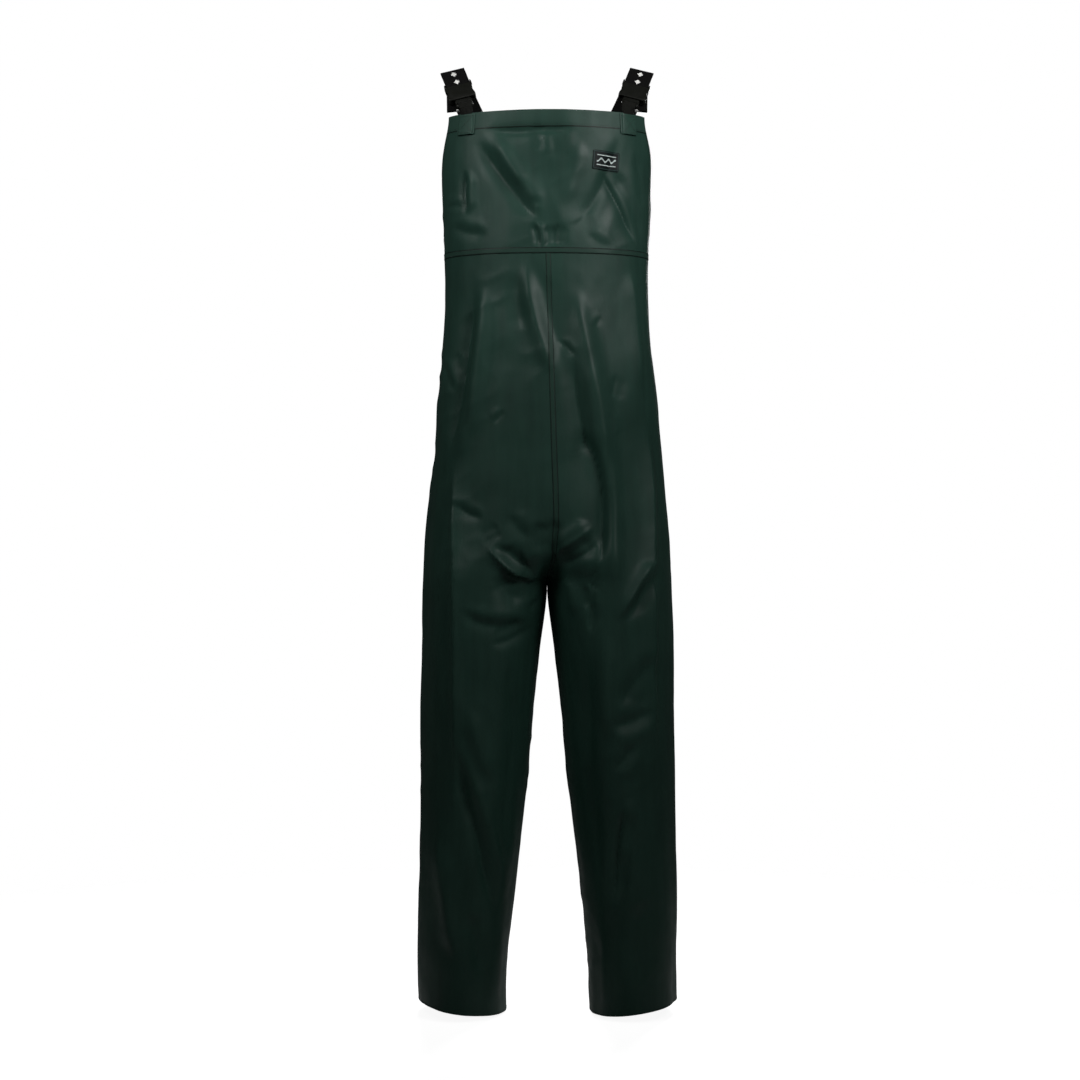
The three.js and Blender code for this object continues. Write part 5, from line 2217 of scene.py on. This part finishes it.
@dataclass
class Studio:
    """A pale floor that melts into a white backdrop, soft lights near the bib and the camera."""

    hem_z: float
    camera_place: tuple[float, float, float] = (-0.011, -3.75, -0.733)
    lens: float = 80.1
    floor_reach: float = 1.9
    floor_fade: tuple[float, float] = (0.35, 1.7)
    ambient: float = 0.028

    def light(
        self,
        name: str,
        place: Sequence[float],
        aim: Sequence[float],
        size: tuple[float, float],
        power: float,
        spread: float = 180.0,
    ) -> None:
        """Adds a soft rectangular light that points at a place.

        Args:
            name: the light's name.
            place: where it is.
            aim: what it points at.
            size: its width and height.
            power: its power in watts.
            spread: the angle of its beam in degrees.
        """
        data = bpy.data.lights.new(name, "AREA")
        data.shape = "RECTANGLE"
        data.size, data.size_y, data.energy = size[0], size[1], power
        data.spread = math.radians(spread)
        made = bpy.data.objects.new(name, data)
        made.location = place
        made.rotation_euler = (Vector(aim) - Vector(place)).to_track_quat("-Z", "Y").to_euler()
        made.visible_camera = False
        bpy.context.scene.collection.objects.link(made)

    def seen(self, tree: bpy.types.NodeTree, low: float, high: float) -> Socket:
        """A strength for the backdrop.

        Args:
            tree: the tree it is for.
            low: its value where the backdrop only gives light.
            high: its value where it is seen directly.

        Returns:
            The strength.
        """
        path = tree.nodes.new("ShaderNodeLightPath")
        strength = tree.nodes.new("ShaderNodeMapRange")
        strength.inputs["To Min"].default_value = low
        strength.inputs["To Max"].default_value = high
        tree.links.new(path.outputs["Is Camera Ray"], strength.inputs["Value"])
        return strength.outputs[0]

    def floor(self) -> None:
        """Makes the floor, which fades out with distance from the object."""
        r, z = self.floor_reach, self.hem_z - 4 * MM
        corners = np.array([(-r, -r, z), (r, -r, z), (r, r, z), (-r, r, z)])
        t = NodeTree("pale_floor")
        t.colour((0.62, 0.62, 0.62, 1.0))
        t.give("Roughness", 0.8)
        t.give("Emission Color", (1.0, 1.0, 1.0, 1.0))
        t.give("Emission Strength", self.seen(t.tree, 0.0, 0.92))
        parts = t.add("SeparateXYZ", None, Vector=t.place())
        reach = t.calc("SQRT", t.calc("ADD", *(t.calc("POWER", parts.outputs[i], 2.0) for i in (0, 1))))
        near, far = self.floor_fade
        fade = t.add("MapRange", None, Value=reach, From_Min=near, From_Max=far, To_Min=1.0, To_Max=0.0)
        t.give("Alpha", fade.outputs[0])
        mesh_object("floor", corners, np.array([[0, 1, 2, 3]]), (t.material,))

    def build(self) -> None:
        """Makes the floor, lights, world and camera."""
        scene = bpy.context.scene
        self.floor()
        self.light("key", (-0.98, -1.08, 0.57), (0.0, 0.0, 0.10), (0.8, 0.6), 3.8, 88)
        self.light("fill", (1.12, -1.16, 0.47), (0.0, 0.0, 0.05), (0.8, 0.6), 5.2, 88)
        self.light("low", (0.2, -2.6, -0.9), (0.0, 0.0, -1.0), (1.6, 0.9), 0.30, 120)
        self.light("rear", (0.3, 2.4, 0.6), (0.0, 0.0, -0.25), (1.6, 1.2), 22.0, 95)
        world = bpy.data.worlds.new("studio")
        world.use_nodes = True
        tree = world.node_tree
        background = next(n for n in tree.nodes if n.type == "BACKGROUND")
        tree.links.new(self.seen(tree, self.ambient, 1.0), background.inputs["Strength"])
        background.inputs["Color"].default_value = (1, 1, 1, 1)
        scene.world = world
        scene.view_settings.view_transform = "Standard"
        data = bpy.data.cameras.new("camera")
        data.lens, data.sensor_width = self.lens, 36.0
        camera = bpy.data.objects.new("camera", data)
        camera.location = self.camera_place
        camera.rotation_euler = (math.pi / 2, 0, 0)
        scene.collection.objects.link(camera)
        scene.camera = camera


def main() -> None:
    """Builds the garment, its braces, buckles and label, and the studio round them."""
    logging.basicConfig(level=logging.INFO, format="%(message)s")
    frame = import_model()
    shape = BodyShape.from_frame()
    surface = ClothSurface(shape, FoldField(shape.hem_z, FRONT_FOLDS + BACK_FOLDS))
    label_size = (LabelPatch.width, LabelPatch.height)
    finishes = Finishes(label_size)
    stitches = StitchRows(finishes.thread)
    garment = Garment(surface, finishes, stitches)
    garment.build()
    buckle = BuckleFrame.from_joints(frame["joints"])
    Braces(surface, finishes, stitches, buckle).build(frame["joints"])
    for side in Side:
        SideReleaseBuckle(side, frame["nodes"], finishes.plastic).build()
    LabelPatch(surface, finishes).build()
    garment.declare()
    Studio(shape.hem_z).build()


if __name__ == "__main__":
    main()
